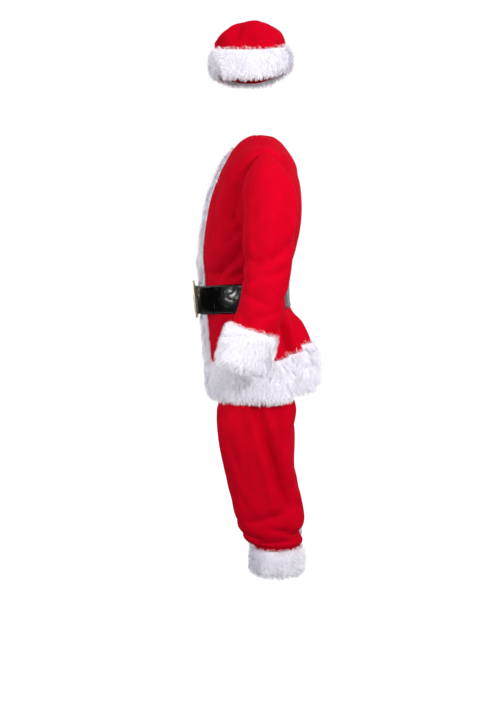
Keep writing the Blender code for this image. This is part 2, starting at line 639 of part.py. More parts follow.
LEG_FOLDS = [
    Fold("left", 0.008, 0.795, 0.040, 0.720, 0.018, 0.006),
    Fold("left", 0.040, 0.720, 0.066, 0.655, 0.017, 0.008),
    Fold("left", 0.066, 0.655, 0.094, 0.560, 0.016, 0.007),
    Fold("left", -0.006, 0.770, 0.050, 0.560, 0.020, -0.005),
    Fold("left", 0.052, 0.435, 0.108, 0.438, 0.010, 0.007),
    Fold("left", 0.004, 0.462, 0.105, 0.466, 0.011, 0.006),
    Fold("left", -0.046, 0.512, 0.030, 0.492, 0.012, 0.004),
    Fold("right", 0.004, 0.790, 0.052, 0.690, 0.020, 0.007),
    Fold("right", 0.052, 0.690, 0.082, 0.575, 0.018, 0.006),
    Fold("right", -0.020, 0.468, 0.088, 0.460, 0.011, 0.006),
    Fold("right", 0.020, 0.520, 0.104, 0.500, 0.013, 0.005),
    Fold("front", 0.100, 0.520, 0.165, 0.500, 0.013, 0.006),
    Fold("front", 0.085, 0.470, 0.150, 0.478, 0.010, 0.005),
    Fold("front", -0.165, 0.512, -0.095, 0.498, 0.013, 0.006),
    Fold("front", -0.160, 0.475, -0.100, 0.466, 0.010, 0.005),
    Fold("front", 0.150, 0.780, 0.128, 0.600, 0.014, -0.005),
    Fold("front", -0.146, 0.780, -0.126, 0.590, 0.014, -0.005),
    Fold("back", 0.085, 0.500, 0.160, 0.482, 0.013, 0.007),
    Fold("back", -0.170, 0.492, -0.100, 0.505, 0.013, 0.007),
    Fold("back", 0.060, 0.800, 0.130, 0.735, 0.018, 0.006),
    Fold("back", -0.058, 0.798, -0.126, 0.728, 0.018, 0.006),
    Fold("back", 0.090, 0.640, 0.160, 0.610, 0.018, 0.006),
    Fold("back", -0.092, 0.630, -0.160, 0.650, 0.018, 0.006),
]


def leg(row, column, side=1):
    """(point, outward) on a leg.  Column 0 is the inner seam, and the front comes next."""
    size = along(LEGS, row)
    turn = 2 * pi * column / LEG_COLUMNS - pi
    c, s = cos(turn), sin(turn)
    middle_y, half_y = (size.front_y + size.back_y) / 2, (size.back_y - size.front_y) / 2
    power = 2 / LEG_SQUARE
    tube = Vector((
        size.middle_x + size.half_x * signed_power(c, power), middle_y + half_y * signed_power(s, power), 0))
    tube_out = Vector((signed_power(c, 2 - power) / size.half_x, signed_power(s, 2 - power) / half_y, 0))
    tube_out.normalize()
    c, s = cos(turn / 2), sin(turn / 2)
    wide, power = size.middle_x + size.half_x, 2 / SEAT_SQUARE
    inner_x = size.middle_x - size.half_x
    seat = Vector((inner_x + wide * max(c, 0.0) ** power, middle_y + half_y * signed_power(s, power), 0))
    seat_out = Vector((max(c, 0.0) ** (2 - power) / wide, signed_power(s, 2 - power) / half_y, 0))
    seat_out.normalize()
    share = ease((row - FORK) / (SEAT_JOINED - FORK))
    point, outward = tube.lerp(seat, share), tube_out.lerp(seat_out, share)
    if outward.length < 0.2:
        outward = Vector((-1, 0, 0))
    point.z = size.z
    outward.normalize()
    point.x *= side
    outward.x *= side
    if row < SEAT_JOINED:
        point = creased(point, outward, LEG_FOLDS)
    return point, outward


def waist_edge(column, side):
    """A point under the waistband's lower edge, where the leg's top is gathered into it."""
    angle = pi * column / LEG_COLUMNS - pi / 2
    point, _ = body(WAIST_LEVELS[0], angle, -(CLOTH + 4 * LINE))
    return Vector((max(point.x, LINE) * side, point.y, point.z - 2 * LINE))


def leg_grid(side):
    rows = []
    for row in LEG_ROWS:
        points = [leg(row, column, side)[0] for column in range(LEG_COLUMNS + 1)]
        rows.append(points if side > 0 else points[::-1])
    top = [waist_edge(column, side) for column in range(LEG_COLUMNS + 1)]
    rows.append(top if side > 0 else top[::-1])
    found = []
    for i, row in enumerate(rows):
        low, high = rows[max(i - 1, 0)], rows[min(i + 1, len(rows) - 1)]
        joined = i <= LEG_ROWS.index(FORK)
        last = len(row) - 1
        cells = []
        for j, p in enumerate(row):
            ahead = row[1] if joined and j == last else row[min(j + 1, last)]
            behind = row[last - 1] if joined and j == 0 else row[max(j - 1, 0)]
            cells.append((p, (ahead - behind).cross(high[j] - low[j]).normalized()))
        found.append(cells)
    return found


for name, side in (("trouser_leg_left", 1), ("trouser_leg_right", -1)):
    wall(name, leg_grid(side), RED_CLOTH, closed_rows=LEG_ROWS.index(FORK) + 1)

LEG_CUFF_ROWS = (0, 1, 1.6)
LEG_CUFF_PILE, LEG_CUFF_LIP = (0.017, 0.019, 0.016), 0.008
for name, side in (("leg_cuff_left", 1), ("leg_cuff_right", -1)):
    stations = [[leg(row, column, side) for row in LEG_CUFF_ROWS] for column in range(LEG_COLUMNS)]
    plush(name, stations if side > 0 else stations[::-1], LEG_CUFF_PILE, LEG_CUFF_LIP, closed=True)

waist_front = front_angles(BELT_LOW, 0.0)
waist_turns = waist_front + back_angles(0.0)[1:] + [-pi - turn for turn in reversed(waist_front)][1:-1]
waist_grid = []
for level in WAIST_LEVELS:
    ring = [body(level, turn) for turn in waist_turns]
    waist_grid.append([(point - outward * (CLOTH + LINE), outward) for point, outward in ring])
wall("waistband", waist_grid, RED_ELASTIC, closed=True)


# ---- hat: a cone flopped over to the right, a plush brim and a pompom ----------------------------

Brim = namedtuple("Brim", "front_z side_z back_z half_x front_y back_y")
BRIM = [
    Brim(1.722, 1.708, 1.738, 0.081, -0.112, 0.081),
    Brim(1.752, 1.740, 1.765, 0.082, -0.113, 0.083),
    Brim(1.780, 1.770, 1.786, 0.082, -0.113, 0.082),
]
Page = namedtuple("Page", "turn start reach middle_y half_y")
HINGE_X, HINGE_Z = -0.092, 1.795
PAGES = [
    Page(0, 0.010, 0.166, -0.0175, 0.0970),
    Page(10, 0.010, 0.166, -0.0170, 0.0965),
    Page(20, 0.010, 0.154, -0.0130, 0.0850),
    Page(32, 0.010, 0.114, -0.0110, 0.0740),
    Page(50, 0.010, 0.076, -0.0105, 0.0640),
    Page(72, 0.010, 0.061, -0.0100, 0.0570),
    Page(96, 0.011, 0.056, -0.0100, 0.0520),
    Page(120, 0.014, 0.051, -0.0080, 0.0430),
    Page(142, 0.021, 0.043, -0.0060, 0.0330),
    Page(162, 0.031, 0.031, -0.0050, 0.0230),
    Page(180, 0.041, 0.016, -0.0040, 0.0095),
]
HAT_COLUMNS = 22


def brim(row, column):
    """(point, outward) on the crown under the brim.  Column 0 is the left side, and the back comes next."""
    size = along(BRIM, row)
    turn = 2 * pi * column / HAT_COLUMNS
    c, s = cos(turn), sin(turn)
    middle_y, half_y = (size.front_y + size.back_y) / 2, (size.back_y - size.front_y) / 2
    end_z = size.back_z if s > 0 else size.front_z
    point = Vector((size.half_x * c, middle_y + half_y * s, size.side_z + (end_z - size.side_z) * s * s))
    return point, Vector((c / size.half_x, s / half_y, 0)).normalized()


def page(row, column):
    size = along(PAGES, row)
    turn, lean = 2 * pi * column / HAT_COLUMNS, radians(size.turn)
    away = Vector((cos(lean), 0, sin(lean)))
    hinge = Vector((HINGE_X, size.middle_y, HINGE_Z))
    middle = hinge + away * (size.start + size.reach / 2)
    point = middle + away * (size.reach / 2 * cos(turn)) + Vector((0, size.half_y * sin(turn), 0))
    return point


BRIM_ROWS = (0, 0.7, 1.4, 2)
BRIM_PILE, BRIM_LIP = (0.017, 0.020, 0.020, 0.014), 0.009
crown_rows = [[brim(row, column)[0] for column in range(HAT_COLUMNS)] for row in BRIM_ROWS]
crown_rows += [[page(row, column) for column in range(HAT_COLUMNS)] for row in range(len(PAGES))]
crown_grid = with_outward(crown_rows)
wall("hat_crown", crown_grid, RED_CLOTH, closed=True)

brim_stations = [[brim(row, column) for row in BRIM_ROWS] for column in range(HAT_COLUMNS)]
plush("hat_brim", brim_stations, BRIM_PILE, BRIM_LIP, closed=True)

POMPOM_RADIUS, LOCK_LENGTH = 0.021, 0.011
LOCK_GAP, LOCK_TAPER = 0.0012, 0.35                  # locks part at their roots and narrow outwards
TIP_DIP = 0.0018                                     # the top lock reaches a little way into the cone's tip
last_page = PAGES[-1]
lean = radians(last_page.turn)
tip = Vector((HINGE_X, last_page.middle_y, HINGE_Z)) + Vector((cos(lean), 0, sin(lean))) * (
    last_page.start + last_page.reach / 2)
POMPOM_AT = tip - Vector((0, 0, POMPOM_RADIUS + LOCK_LENGTH - TIP_DIP))
bm = bmesh.new()
bmesh.ops.create_icosphere(bm, subdivisions=2, radius=POMPOM_RADIUS)
roots = bmesh.ops.inset_individual(bm, faces=bm.faces[:], thickness=LOCK_GAP)
locks = [face for face in bm.faces if face not in set(roots["faces"])]
for number, face in enumerate(locks):
    outward = face.calc_center_median().normalized()
    grown = bmesh.ops.extrude_discrete_faces(bm, faces=[face])["faces"][0]
    middle = grown.calc_center_median()
    length = LOCK_LENGTH * (0.8 + 0.2 * sin(number * 2.4))
    for vert in grown.verts:
        vert.co = middle + outward * length + (vert.co - middle) * LOCK_TAPER
pompom = add_object("pompom", bm, WHITE_PLUSH)
pompom.location = POMPOM_AT
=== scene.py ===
"""The looks of a worn santa suit: felted red cloth, shaggy white plush, a vinyl belt and its buckle.

Everything is in metres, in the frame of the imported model.  The tables give heights above the floor that
the wearer stands on; the origin is at the middle of the neckline, NECK_HEIGHT above that floor.  The
wearer faces -Y and their left arm is at +X.
"""

from collections import namedtuple
from math import pi, radians

import bpy
import numpy as np
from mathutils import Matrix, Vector
from mathutils.kdtree import KDTree


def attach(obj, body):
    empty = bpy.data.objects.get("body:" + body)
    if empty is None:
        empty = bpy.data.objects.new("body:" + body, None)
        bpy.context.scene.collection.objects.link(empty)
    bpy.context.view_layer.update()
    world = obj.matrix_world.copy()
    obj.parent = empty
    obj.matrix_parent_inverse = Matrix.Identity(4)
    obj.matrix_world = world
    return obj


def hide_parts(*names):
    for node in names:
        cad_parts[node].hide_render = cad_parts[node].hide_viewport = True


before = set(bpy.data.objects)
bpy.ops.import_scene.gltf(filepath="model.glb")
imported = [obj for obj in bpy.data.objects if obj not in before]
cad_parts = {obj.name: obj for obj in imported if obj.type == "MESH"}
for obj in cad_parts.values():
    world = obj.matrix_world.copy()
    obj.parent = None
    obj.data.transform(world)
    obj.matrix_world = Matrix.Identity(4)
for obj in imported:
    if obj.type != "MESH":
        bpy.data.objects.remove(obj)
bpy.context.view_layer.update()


# ---- the studio ------------------------------------------------------------------------------------
# A white floor and a white surround that darkens below the horizon.  The key lamp stands high on the
# wearer's left, a little behind, and a fill lamp before them.  A second lamp beside the fill, and a black
# card before the wearer, show in gloss alone: they keep the vinyl dark and give it a clear highlight.

NECK_HEIGHT = 1.540
CAMERA_AT, CAMERA_AIM, CAMERA_LENS = (3.3, -0.0168, 1.25), (0.0, -0.0168, 0.945), 59.68
FLOOR_HALF, FLOOR_GLOW = 40.0, 0.08      # the glow keeps the lamps' faint shadows off the white
CARD_RIGHT, CARD_LEFT, CARD_Y, CARD_TOP = -4.5, 0.6, -2.6, 0.8
Lamp = namedtuple("Lamp", "name at aim size power spread lights_cloth")
LAMPS = [
    Lamp("soft_key", (2.8, 1.8, 2.2), (0.0, 0.0, 1.40), 0.80, 12.0, 56, True),
    Lamp("front_fill", (1.9, -2.4, 1.75), (0.0, 0.0, 1.20), 0.75, 2.4, 46, True),
    Lamp("vinyl_glint", (2.0, -2.3, 1.65), (0.0, 0.0, 1.10), 0.60, 5.5, 40, False),
]


def linear(code):
    """A colour as the shaders hold it, from its sRGB hex code."""
    shares = [int(code[k:k + 2], 16) / 255 for k in (1, 3, 5)]
    return (*(s / 12.92 if s <= 0.04045 else ((s + 0.055) / 1.055) ** 2.4 for s in shares), 1.0)


def add_node(owner, kind, settings, links=None):
    """Adds a node, sets its properties (lower case) and its sockets, and joins the sockets that are fed."""
    made = owner.node_tree.nodes.new(kind)
    for key, value in settings.items():
        if isinstance(key, str) and key.islower():
            setattr(made, key, value)
        else:
            made.inputs[key].default_value = value
    for key, source in (links or {}).items():
        owner.node_tree.links.new(source, made.inputs[key])
    return made


def feed(owner, shader, key, source):
    """Joins a node's output to a socket of the shader that a material, or the world, comes with."""
    owner.node_tree.links.new(source, owner.node_tree.nodes[shader].inputs[key])


def new_material(name, settings):
    """A material with these values on its shader's sockets."""
    material = bpy.data.materials.new(name)
    material.use_nodes = True
    for key, value in settings.items():
        material.node_tree.nodes["Principled BSDF"].inputs[key].default_value = value
    return material


def place(obj, at, aim):
    """Puts the camera or a lamp in the scene, at one point above the floor and turned to another."""
    obj.location = Vector(at) - Vector((0, 0, NECK_HEIGHT))
    obj.rotation_euler = (Vector(aim) - Vector(at)).to_track_quat("-Z", "Y").to_euler()
    bpy.context.scene.collection.objects.link(obj)


def studio_board(name, corners, material):
    """A flat board that belongs to the studio."""
    mesh = bpy.data.meshes.new(name)
    mesh.from_pydata(corners, [], [(0, 1, 2, 3)])
    mesh.materials.append(material)
    made = bpy.data.objects.new(name, mesh)
    bpy.context.scene.collection.objects.link(made)
    return made


camera = bpy.data.objects.new("camera", bpy.data.cameras.new("camera"))
camera.data.lens = CAMERA_LENS
place(camera, CAMERA_AT, CAMERA_AIM)
bpy.context.scene.camera = camera

surround = bpy.data.worlds.new("white_surround")
surround.use_nodes = True
surround.node_tree.nodes["Background"].inputs["Color"].default_value = linear("#FFFFFF")
surround_way = add_node(surround, "ShaderNodeTexCoord", {})
surround_axes = add_node(surround, "ShaderNodeSeparateXYZ", {}, {"Vector": surround_way.outputs["Generated"]})
surround_level = add_node(surround, "ShaderNodeMapRange", {
    "interpolation_type": "SMOOTHSTEP", "From Min": -0.40, "From Max": -0.05, "To Min": 0.28, "To Max": 1.0},
    {"Value": surround_axes.outputs["Z"]})
feed(surround, "Background", "Strength", surround_level.outputs["Result"])
bpy.context.scene.world = surround
bpy.context.scene.view_settings.view_transform = "Standard"

for lamp in LAMPS:
    light = bpy.data.lights.new(lamp.name, "AREA")
    light.size = lamp.size
    light.energy = lamp.power
    light.spread = radians(lamp.spread)
    holder = bpy.data.objects.new(lamp.name, light)
    holder.visible_diffuse = lamp.lights_cloth
    place(holder, lamp.at, lamp.aim)

# Flat emulsion, without gloss.  Its bounce would flatten the folds, so only the camera sees it.
floor_paint = new_material("matt_white_floor_paint", {
    "Base Color": linear("#FFFFFF"), "Roughness": 1.0, "Specular IOR Level": 0.0,
    "Emission Color": linear("#FFFFFF"), "Emission Strength": FLOOR_GLOW})
floor_corners = [(x * FLOOR_HALF, y * FLOOR_HALF, -NECK_HEIGHT)
                 for x, y in ((-1, -1), (1, -1), (1, 1), (-1, 1))]
studio_floor = studio_board("studio_floor", floor_corners, floor_paint)
studio_floor.visible_diffuse = studio_floor.visible_glossy = False

# Flock on card gives almost no light back.  Only reflections see it.
black_flock = new_material("black_flocked_card", {
    "Base Color": linear("#000000"), "Roughness": 1.0, "Specular IOR Level": 0.0})
studio_card = studio_board("studio_card", [
    (CARD_RIGHT, CARD_Y, -NECK_HEIGHT), (CARD_LEFT, CARD_Y, -NECK_HEIGHT),
    (CARD_LEFT, CARD_Y, CARD_TOP), (CARD_RIGHT, CARD_Y, CARD_TOP)], black_flock)
studio_card.visible_camera = studio_card.visible_diffuse = studio_card.visible_shadow = False


# ---- jacket: two fronts and a back -----------------------------------------------------------------
# Brushed polyester felt, cut as a loose box and drawn in by the belt, so that it blouses above it and
# flares in flutes below.  The panels are sewn at the sides; the fronts meet under the plush band.

CLOTH = 0.0022
LINE = 0.0005                # what lies on a panel stands this far off it
SEAM = 0.00015               # each panel's edge is drawn in this far
GROOVE, GROOVE_REACH = 0.0012, 0.0035

Ring = namedtuple("Ring", "front_z side_z back_z half front_y side_y back_y square")
TORSO = [
    Ring(0.846, 0.848, 0.886, 0.197, -0.123, 0.020, 0.166, 2.3),    # 0 hem
    Ring(0.930, 0.945, 0.985, 0.190, -0.127, 0.016, 0.147, 2.3),    # 1 top of the hem plush
    Ring(1.015, 1.022, 1.045, 0.180, -0.133, 0.008, 0.122, 2.3),    # 2
    Ring(1.068, 1.076, 1.090, 0.169, -0.137, -0.006, 0.094, 2.3),   # 3 belt's lower edge
    Ring(1.144, 1.154, 1.166, 0.167, -0.141, -0.010, 0.090, 2.3),   # 4 belt's upper edge
    Ring(1.195, 1.203, 1.212, 0.177, -0.147, -0.004, 0.102, 2.3),   # 5 cloth bloused over the belt
    Ring(1.240, 1.246, 1.255, 0.183, -0.148, 0.004, 0.113, 2.35),   # 6
    Ring(1.285, 1.287, 1.295, 0.186, -0.144, 0.010, 0.121, 2.4),    # 7
    Ring(1.330, 1.325, 1.340, 0.187, -0.137, 0.016, 0.126, 2.35),   # 8 under the arm
    Ring(1.372, 1.382, 1.388, 0.187, -0.128, 0.019, 0.1265, 2.2),   # 9
    Ring(1.412, 1.440, 1.435, 0.190, -0.116, 0.020, 0.1205, 2.0),   # 10
    Ring(1.446, 1.494, 1.478, 0.198, -0.104, 0.018, 0.1100, 1.8),   # 11 shoulder point
    Ring(1.470, 1.522, 1.510, 0.152, -0.093, 0.012, 0.0920, 1.85),  # 12
    Ring(1.487, 1.541, 1.534, 0.111, -0.084, 0.006, 0.0725, 1.95),  # 13
    Ring(1.499, 1.551, 1.548, 0.083, -0.077, 0.002, 0.0540, 2.0),   # 14 neckline
]
BELT_LOW, BELT_MIDDLE, BELT_HIGH = 3.0, 3.5, 4.0
UNDERARM, SHOULDER, NECKLINE = 8.0, 11.0, 14.0

Flute = namedtuple("Flute", "angle width depth")
SKIRT_FLUTES = [
    Flute(-38, 13, 0.005), Flute(-12, 12, 0.006), Flute(14, 9, -0.004), Flute(36, 8, 0.008),
    Flute(52, 7, -0.007), Flute(66, 7, 0.008), Flute(82, 6, -0.005), Flute(97, 8, 0.007),
    Flute(117, 8, -0.006), Flute(134, 9, 0.008), Flute(160, 11, -0.004), Flute(188, 12, 0.006),
    Flute(219, 12, 0.005),
]
FLUTE_GAIN, FLUTE_EDGE, FLUTE_RUN = 1.6, 1.6, 1.1      # edge is a power; run is in rings below the belt

# Folds are listed by the side that shows them.  Each runs from one point to another, by its place across
# that side (y on the left and right, x on the front and back) and its height.  A depth below 0 is a ridge.
Fold = namedtuple("Fold", "across_1 z_1 across_2 z_2 width depth")
FACES = {"left": (1, 0, 0), "right": (-1, 0, 0), "front": (0, -1, 0), "back": (0, 1, 0)}
FOLD_BELOW, FOLD_ABOVE = 0.75, 1.25      # shares of its width on a fold's two sides
FOLD_SWELL, FOLD_DEEPEST = 0.25, 0.6
FOLD_EDGE, FOLD_WRAP = 1.5, 1.6
BODY_FOLDS = {
    "left": [
        (-0.045, 1.405, -0.060, 1.330, 0.014, 0.011), (-0.060, 1.330, -0.036, 1.300, 0.013, 0.009),
        (-0.036, 1.245, -0.085, 1.195, 0.016, 0.009), (-0.034, 1.185, -0.078, 1.158, 0.011, 0.012),
        (-0.088, 1.215, -0.104, 1.160, 0.011, 0.006), (-0.040, 1.300, -0.078, 1.262, 0.012, 0.005),
        (-0.066, 1.392, -0.082, 1.330, 0.012, 0.004), (-0.046, 1.216, -0.120, 1.172, 0.009, 0.008),
        (0.088, 1.250, 0.070, 1.180, 0.014, 0.007), (0.062, 1.095, 0.084, 0.975, 0.009, 0.017),
        (0.077, 1.075, 0.101, 0.975, 0.010, -0.009), (0.092, 1.090, 0.124, 0.980, 0.009, 0.016),
        (0.040, 1.060, 0.050, 0.975, 0.013, -0.006), (0.026, 1.075, 0.022, 0.985, 0.010, 0.009),
        (-0.055, 1.075, -0.062, 0.985, 0.010, 0.008),
    ],
    "right": [
        (-0.050, 1.395, -0.064, 1.322, 0.017, 0.008), (-0.030, 1.235, -0.078, 1.202, 0.016, 0.006),
        (-0.010, 1.190, -0.062, 1.166, 0.014, 0.008),
    ],
    "front": [
        (0.085, 1.380, 0.120, 1.300, 0.018, 0.006), (-0.088, 1.372, -0.126, 1.290, 0.018, 0.006),
        (0.070, 1.185, 0.130, 1.176, 0.012, 0.005), (-0.075, 1.188, -0.132, 1.180, 0.012, 0.005),
        (0.066, 1.440, 0.110, 1.400, 0.016, 0.004),
    ],
    "back": [
        (-0.140, 1.360, -0.080, 1.260, 0.020, 0.007), (0.140, 1.355, 0.070, 1.265, 0.020, 0.007),
        (-0.050, 1.215, 0.040, 1.190, 0.016, 0.007), (0.060, 1.232, 0.120, 1.200, 0.014, 0.006),
        (-0.120, 1.205, -0.060, 1.238, 0.014, 0.006), (-0.030, 1.470, 0.040, 1.440, 0.022, 0.004),
    ],
}

Wave = namedtuple("Wave", "size seed depth")
BODY_GATHERS, BODY_DRIFTS = Wave((0.014, 0.014, 0.11), 3, 0.0022), Wave((0.055, 0.055, 0.12), 4, 0.0028)
BODY_DIMPLES = Wave((0.022, 0.022, 0.03), 5, 0.0005)
# In rings: how far from the belt its gathers reach, how far it holds the cloth flat, and over how much the
# folds come in above it, go out at the shoulder and come in below it.
GATHER_RUN, BELT_HOLD = 1.1, 0.62
FADE_ABOVE, FADE_SHOULDER, FADE_BELOW = 0.5, 1.0, 0.9
BELT_SINK = 0.0003
PLUSH_TOP, PLUSH_STEADY = 1.0, 0.3       # the hem's plush leaves this share of the waves under it
LATTICE, LATTICE_START = 24, 7.3


def through(table, level):
    """A table's columns at fractional rows, on a smooth curve through its rows."""
    rows = np.array(table, float)
    level = np.asarray(level, float)
    first = np.clip(level.astype(int), 0, len(rows) - 2)
    t = (level - first)[..., None]
    a, b = rows[np.maximum(first - 1, 0)], rows[first]
    c, d = rows[first + 1], rows[np.minimum(first + 2, len(rows) - 1)]
    found = 0.5 * (2 * b + (c - a) * t + (2 * a - 5 * b + 4 * c - d) * t ** 2
                   + (3 * b - a - 3 * c + d) * t ** 3)
    return np.moveaxis(found, -1, 0)


def ease(t):
    """From 0 to 1 as t does, level at both ends."""
    t = np.clip(t, 0.0, 1.0)
    return t * t * (3 - 2 * t)


def signed_power(value, power):
    """A power of the value's size, with the value's sign."""
    return np.sign(value) * np.abs(value) ** power


def vectors(x, y, z):
    """Points or directions from arrays or single numbers for their three parts."""
    return np.stack(np.broadcast_arrays(x, y, z), axis=-1).astype(float)


def unit(v):
    """The same directions, one unit long."""
    return v / np.maximum(np.linalg.norm(v, axis=-1, keepdims=True), 1e-12)


def rounded(turn, square):
    """The two parts of a place on a ring, and the two parts of its outward direction.  The ring is an ellipse
    where square is 2, and its corners fill out as square grows."""
    c, s = np.cos(turn), np.sin(turn)
    return [signed_power(part, power) for power in (2 / square, 2 - 2 / square) for part in (c, s)]


def crossed(rows, columns):
    """Two grids, one that holds each point's row value and one that holds its column value."""
    return np.broadcast_arrays(rows[:, None], columns[None, :])


def torso(level, angle):
    """Points and outward directions of the jacket's body, before any fold.  The angle is 0 at the left
    side, a quarter turn at the back and minus a quarter turn at the front."""
    front_z, side_z, back_z, half, front_y, side_y, back_y, square = through(TORSO, level)
    x, y, out_x, out_y = rounded(angle, square)
    s = np.sin(angle)
    reach = np.where(s > 0, back_y - side_y, side_y - front_y)
    end_z = np.where(s > 0, back_z, front_z)
    points = vectors(half * x, side_y + reach * y, side_z + (end_z - side_z) * s * s)
    outward = unit(vectors(out_x / half, out_y / reach, 0.0))
    turn = (np.degrees(angle) + 90) % 360 - 90
    fluted = sum(FLUTE_GAIN * flute.depth * np.exp(-np.abs((turn - flute.angle) / flute.width) ** FLUTE_EDGE)
                 for flute in SKIRT_FLUTES)
    fullness = np.where(level < BELT_LOW, ease((BELT_LOW - level) / FLUTE_RUN), 0.0)
    return points - outward * (fullness * fluted)[..., None], outward


def soft_noise(points, size, seed):
    """Smooth noise from -1 to 1 that changes over about size; size may differ along the three axes."""
    lattice = np.random.default_rng(seed).random((LATTICE, LATTICE, LATTICE)) * 2 - 1
    at = points / np.array(size, float) + LATTICE_START
    cell = np.floor(at).astype(int)
    t = ease(at - cell)
    total = np.zeros(points.shape[:-1])
    for corner in np.ndindex(2, 2, 2):
        share = np.prod(np.where(corner, t, 1 - t), axis=-1)
        total += share * lattice[tuple(np.moveaxis((cell + corner) % LATTICE, -1, 0))]
    return total


def waves(points, wave):
    """How far each point is moved outwards by uneven waves in the cloth."""
    return soft_noise(points, wave.size, wave.seed) * wave.depth


def fold_shift(points, outward, folds):
    """How far each point is moved outwards by the folds that it lies under.  A fold is deepest a little past
    its middle and dies away beyond both ends, and its lower side is the steeper one."""
    shift = np.zeros(points.shape[:-1])
    for side, rows in folds.items():
        face = np.array(FACES[side], float)
        across = points[..., 1] if face[0] else points[..., 0]
        for fold in (Fold(*row) for row in rows):
            du, dz = fold.across_2 - fold.across_1, fold.z_2 - fold.z_1
            length = np.hypot(du, dz)
            u, z = across - fold.across_1, points[..., 2] - fold.z_1
            t = (u * du + z * dz) / length ** 2
            aside = (u * dz - z * du) / length * (1 if du > 0 else -1)
            beyond = np.maximum(np.maximum(-t, t - 1), 0) * length
            width = fold.width * np.where(aside > 0, FOLD_BELOW, FOLD_ABOVE)
            away = np.hypot(aside, beyond) / width
            swell = 1 - FOLD_SWELL + FOLD_SWELL * np.cos((np.clip(t, 0, 1) - FOLD_DEEPEST) * pi)
            facing = np.clip(outward @ face * FOLD_WRAP, 0, 1)
            shift -= fold.depth * np.exp(-away ** FOLD_EDGE) * swell * facing
    return shift


def outward_of(grid):
    """Unit directions square to a grid of points, pointing away from the middle of each row."""
    square = unit(np.cross(np.gradient(grid, axis=1), np.gradient(grid, axis=0)))
    away = grid - grid.mean(axis=1, keepdims=True)
    return square * np.sign((square * away).sum())


def lengths_along(grid, axis):
    """The distance run from the grid's first row, or first column, to each point."""
    steps = np.linalg.norm(np.diff(grid, axis=axis), axis=-1)
    pad = [(0, 0), (0, 0)]
    pad[axis] = (1, 0)
    return np.pad(steps.cumsum(axis=axis), pad)


def mesh_object(name, points, faces, material, uv=None):
    """A piece from points, a list of arrays of faces and, for each point, its place on the flat cloth."""
    points = np.asarray(points, float).reshape(-1, 3) - (0, 0, NECK_HEIGHT)
    corners = np.concatenate([f.ravel() for f in faces])
    counts = np.concatenate([np.full(len(f), f.shape[1]) for f in faces])
    mesh = bpy.data.meshes.new(name)
    mesh.vertices.add(len(points))
    mesh.vertices.foreach_set("co", points.astype(np.float32).ravel())
    mesh.loops.add(len(corners))
    mesh.loops.foreach_set("vertex_index", corners.astype(np.int32))
    mesh.polygons.add(len(counts))
    mesh.polygons.foreach_set("loop_start", (np.cumsum(counts) - counts).astype(np.int32))
    if uv is not None:
        layer = mesh.uv_layers.new(name="flat_cloth")
        layer.data.foreach_set("uv", np.asarray(uv, np.float32).reshape(-1, 2)[corners].ravel())
    mesh.update(calc_edges=True)
    mesh.validate()
    mesh.materials.append(material)
    mesh.shade_smooth()
    piece = bpy.data.objects.new(name, mesh)
    bpy.context.scene.collection.objects.link(piece)
    return piece


def quads(index):
    """Faces between the neighbours of an array of point numbers."""
    return np.stack([index[:-1, :-1], index[:-1, 1:], index[1:, 1:], index[1:, :-1]], axis=-1).reshape(-1, 4)


def cloth(name, grid, material, groove=True, thick=CLOTH):
    """A panel of cloth with its outer face on a grid of points.  Its side edges are drawn in to a seam's
    groove, and its inner face lies a cloth's thickness behind."""
    across = lengths_along(grid, 1)
    edge = np.minimum(across, across[:, -1:] - across)
    outward = outward_of(grid)
    if groove:
        grid = grid - outward * (GROOVE * np.exp(-(edge / GROOVE_REACH) ** 2))[..., None]
        for end, beside in ((0, 1), (-1, -2)):
            grid[:, end] += unit(grid[:, beside] - grid[:, end]) * SEAM
        outward = outward_of(grid)
    index = np.arange(grid[..., 0].size).reshape(grid.shape[:2])
    behind = index + index.size
    rim = [np.stack([index[0], behind[0]]), np.stack([behind[-1], index[-1]]),
           np.stack([behind[:, 0], index[:, 0]]), np.stack([index[:, -1], behind[:, -1]])]
    faces = [quads(index), quads(behind)[:, ::-1], *(quads(strip) for strip in rim)]
    square = np.cross(grid[0, 1] - grid[0, 0], grid[1, 0] - grid[0, 0])
    if square @ outward[0, 0] < 0:
        faces = [f[:, ::-1] for f in faces]
    flat = np.stack([across - across[:, -1:] / 2, lengths_along(grid, 0)], axis=-1)
    return mesh_object(name, [grid, grid - outward * thick], faces, material, [flat, flat])


def fasten(piece, node):
    """Declares a piece that stands in for a node of the model, which has no moving parts."""
    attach(piece, "root")
    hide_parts(node)
    return piece


# Brushed felt takes light evenly: rough, with fine upright ribs from the knit that backs it, a short nap
# that breaks them up, and a faint glow where it turns away.
RIB_SPACING = 0.0024         # the real ribs are 1.2 mm apart, drawn coarser to show
NAP_GRAIN, PATCH = 0.0011, 0.055
red_felt = new_material("brushed_polyester_felt", {
    "Roughness": 0.88, "Specular IOR Level": 0.02, "Sheen Weight": 0.06, "Sheen Roughness": 0.45,
    "Sheen Tint": linear("#FF2A66")})
felt_flat = add_node(red_felt, "ShaderNodeUVMap", {"uv_map": "flat_cloth"})
felt_rib = add_node(red_felt, "ShaderNodeTexWave", {
    "wave_type": "BANDS", "bands_direction": "X", "Scale": 2 * pi / (20 * RIB_SPACING), "Distortion": 0.6,
    "Detail": 1.0, "Detail Scale": 2.0}, {"Vector": felt_flat.outputs["UV"]})
felt_nap = add_node(red_felt, "ShaderNodeTexNoise", {"Scale": 1 / NAP_GRAIN, "Detail": 3.0, "Roughness": 0.7},
                    {"Vector": felt_flat.outputs["UV"]})
felt_patch = add_node(red_felt, "ShaderNodeTexNoise", {"Scale": 1 / PATCH, "Detail": 4.0, "Roughness": 0.6},
                      {"Vector": felt_flat.outputs["UV"]})
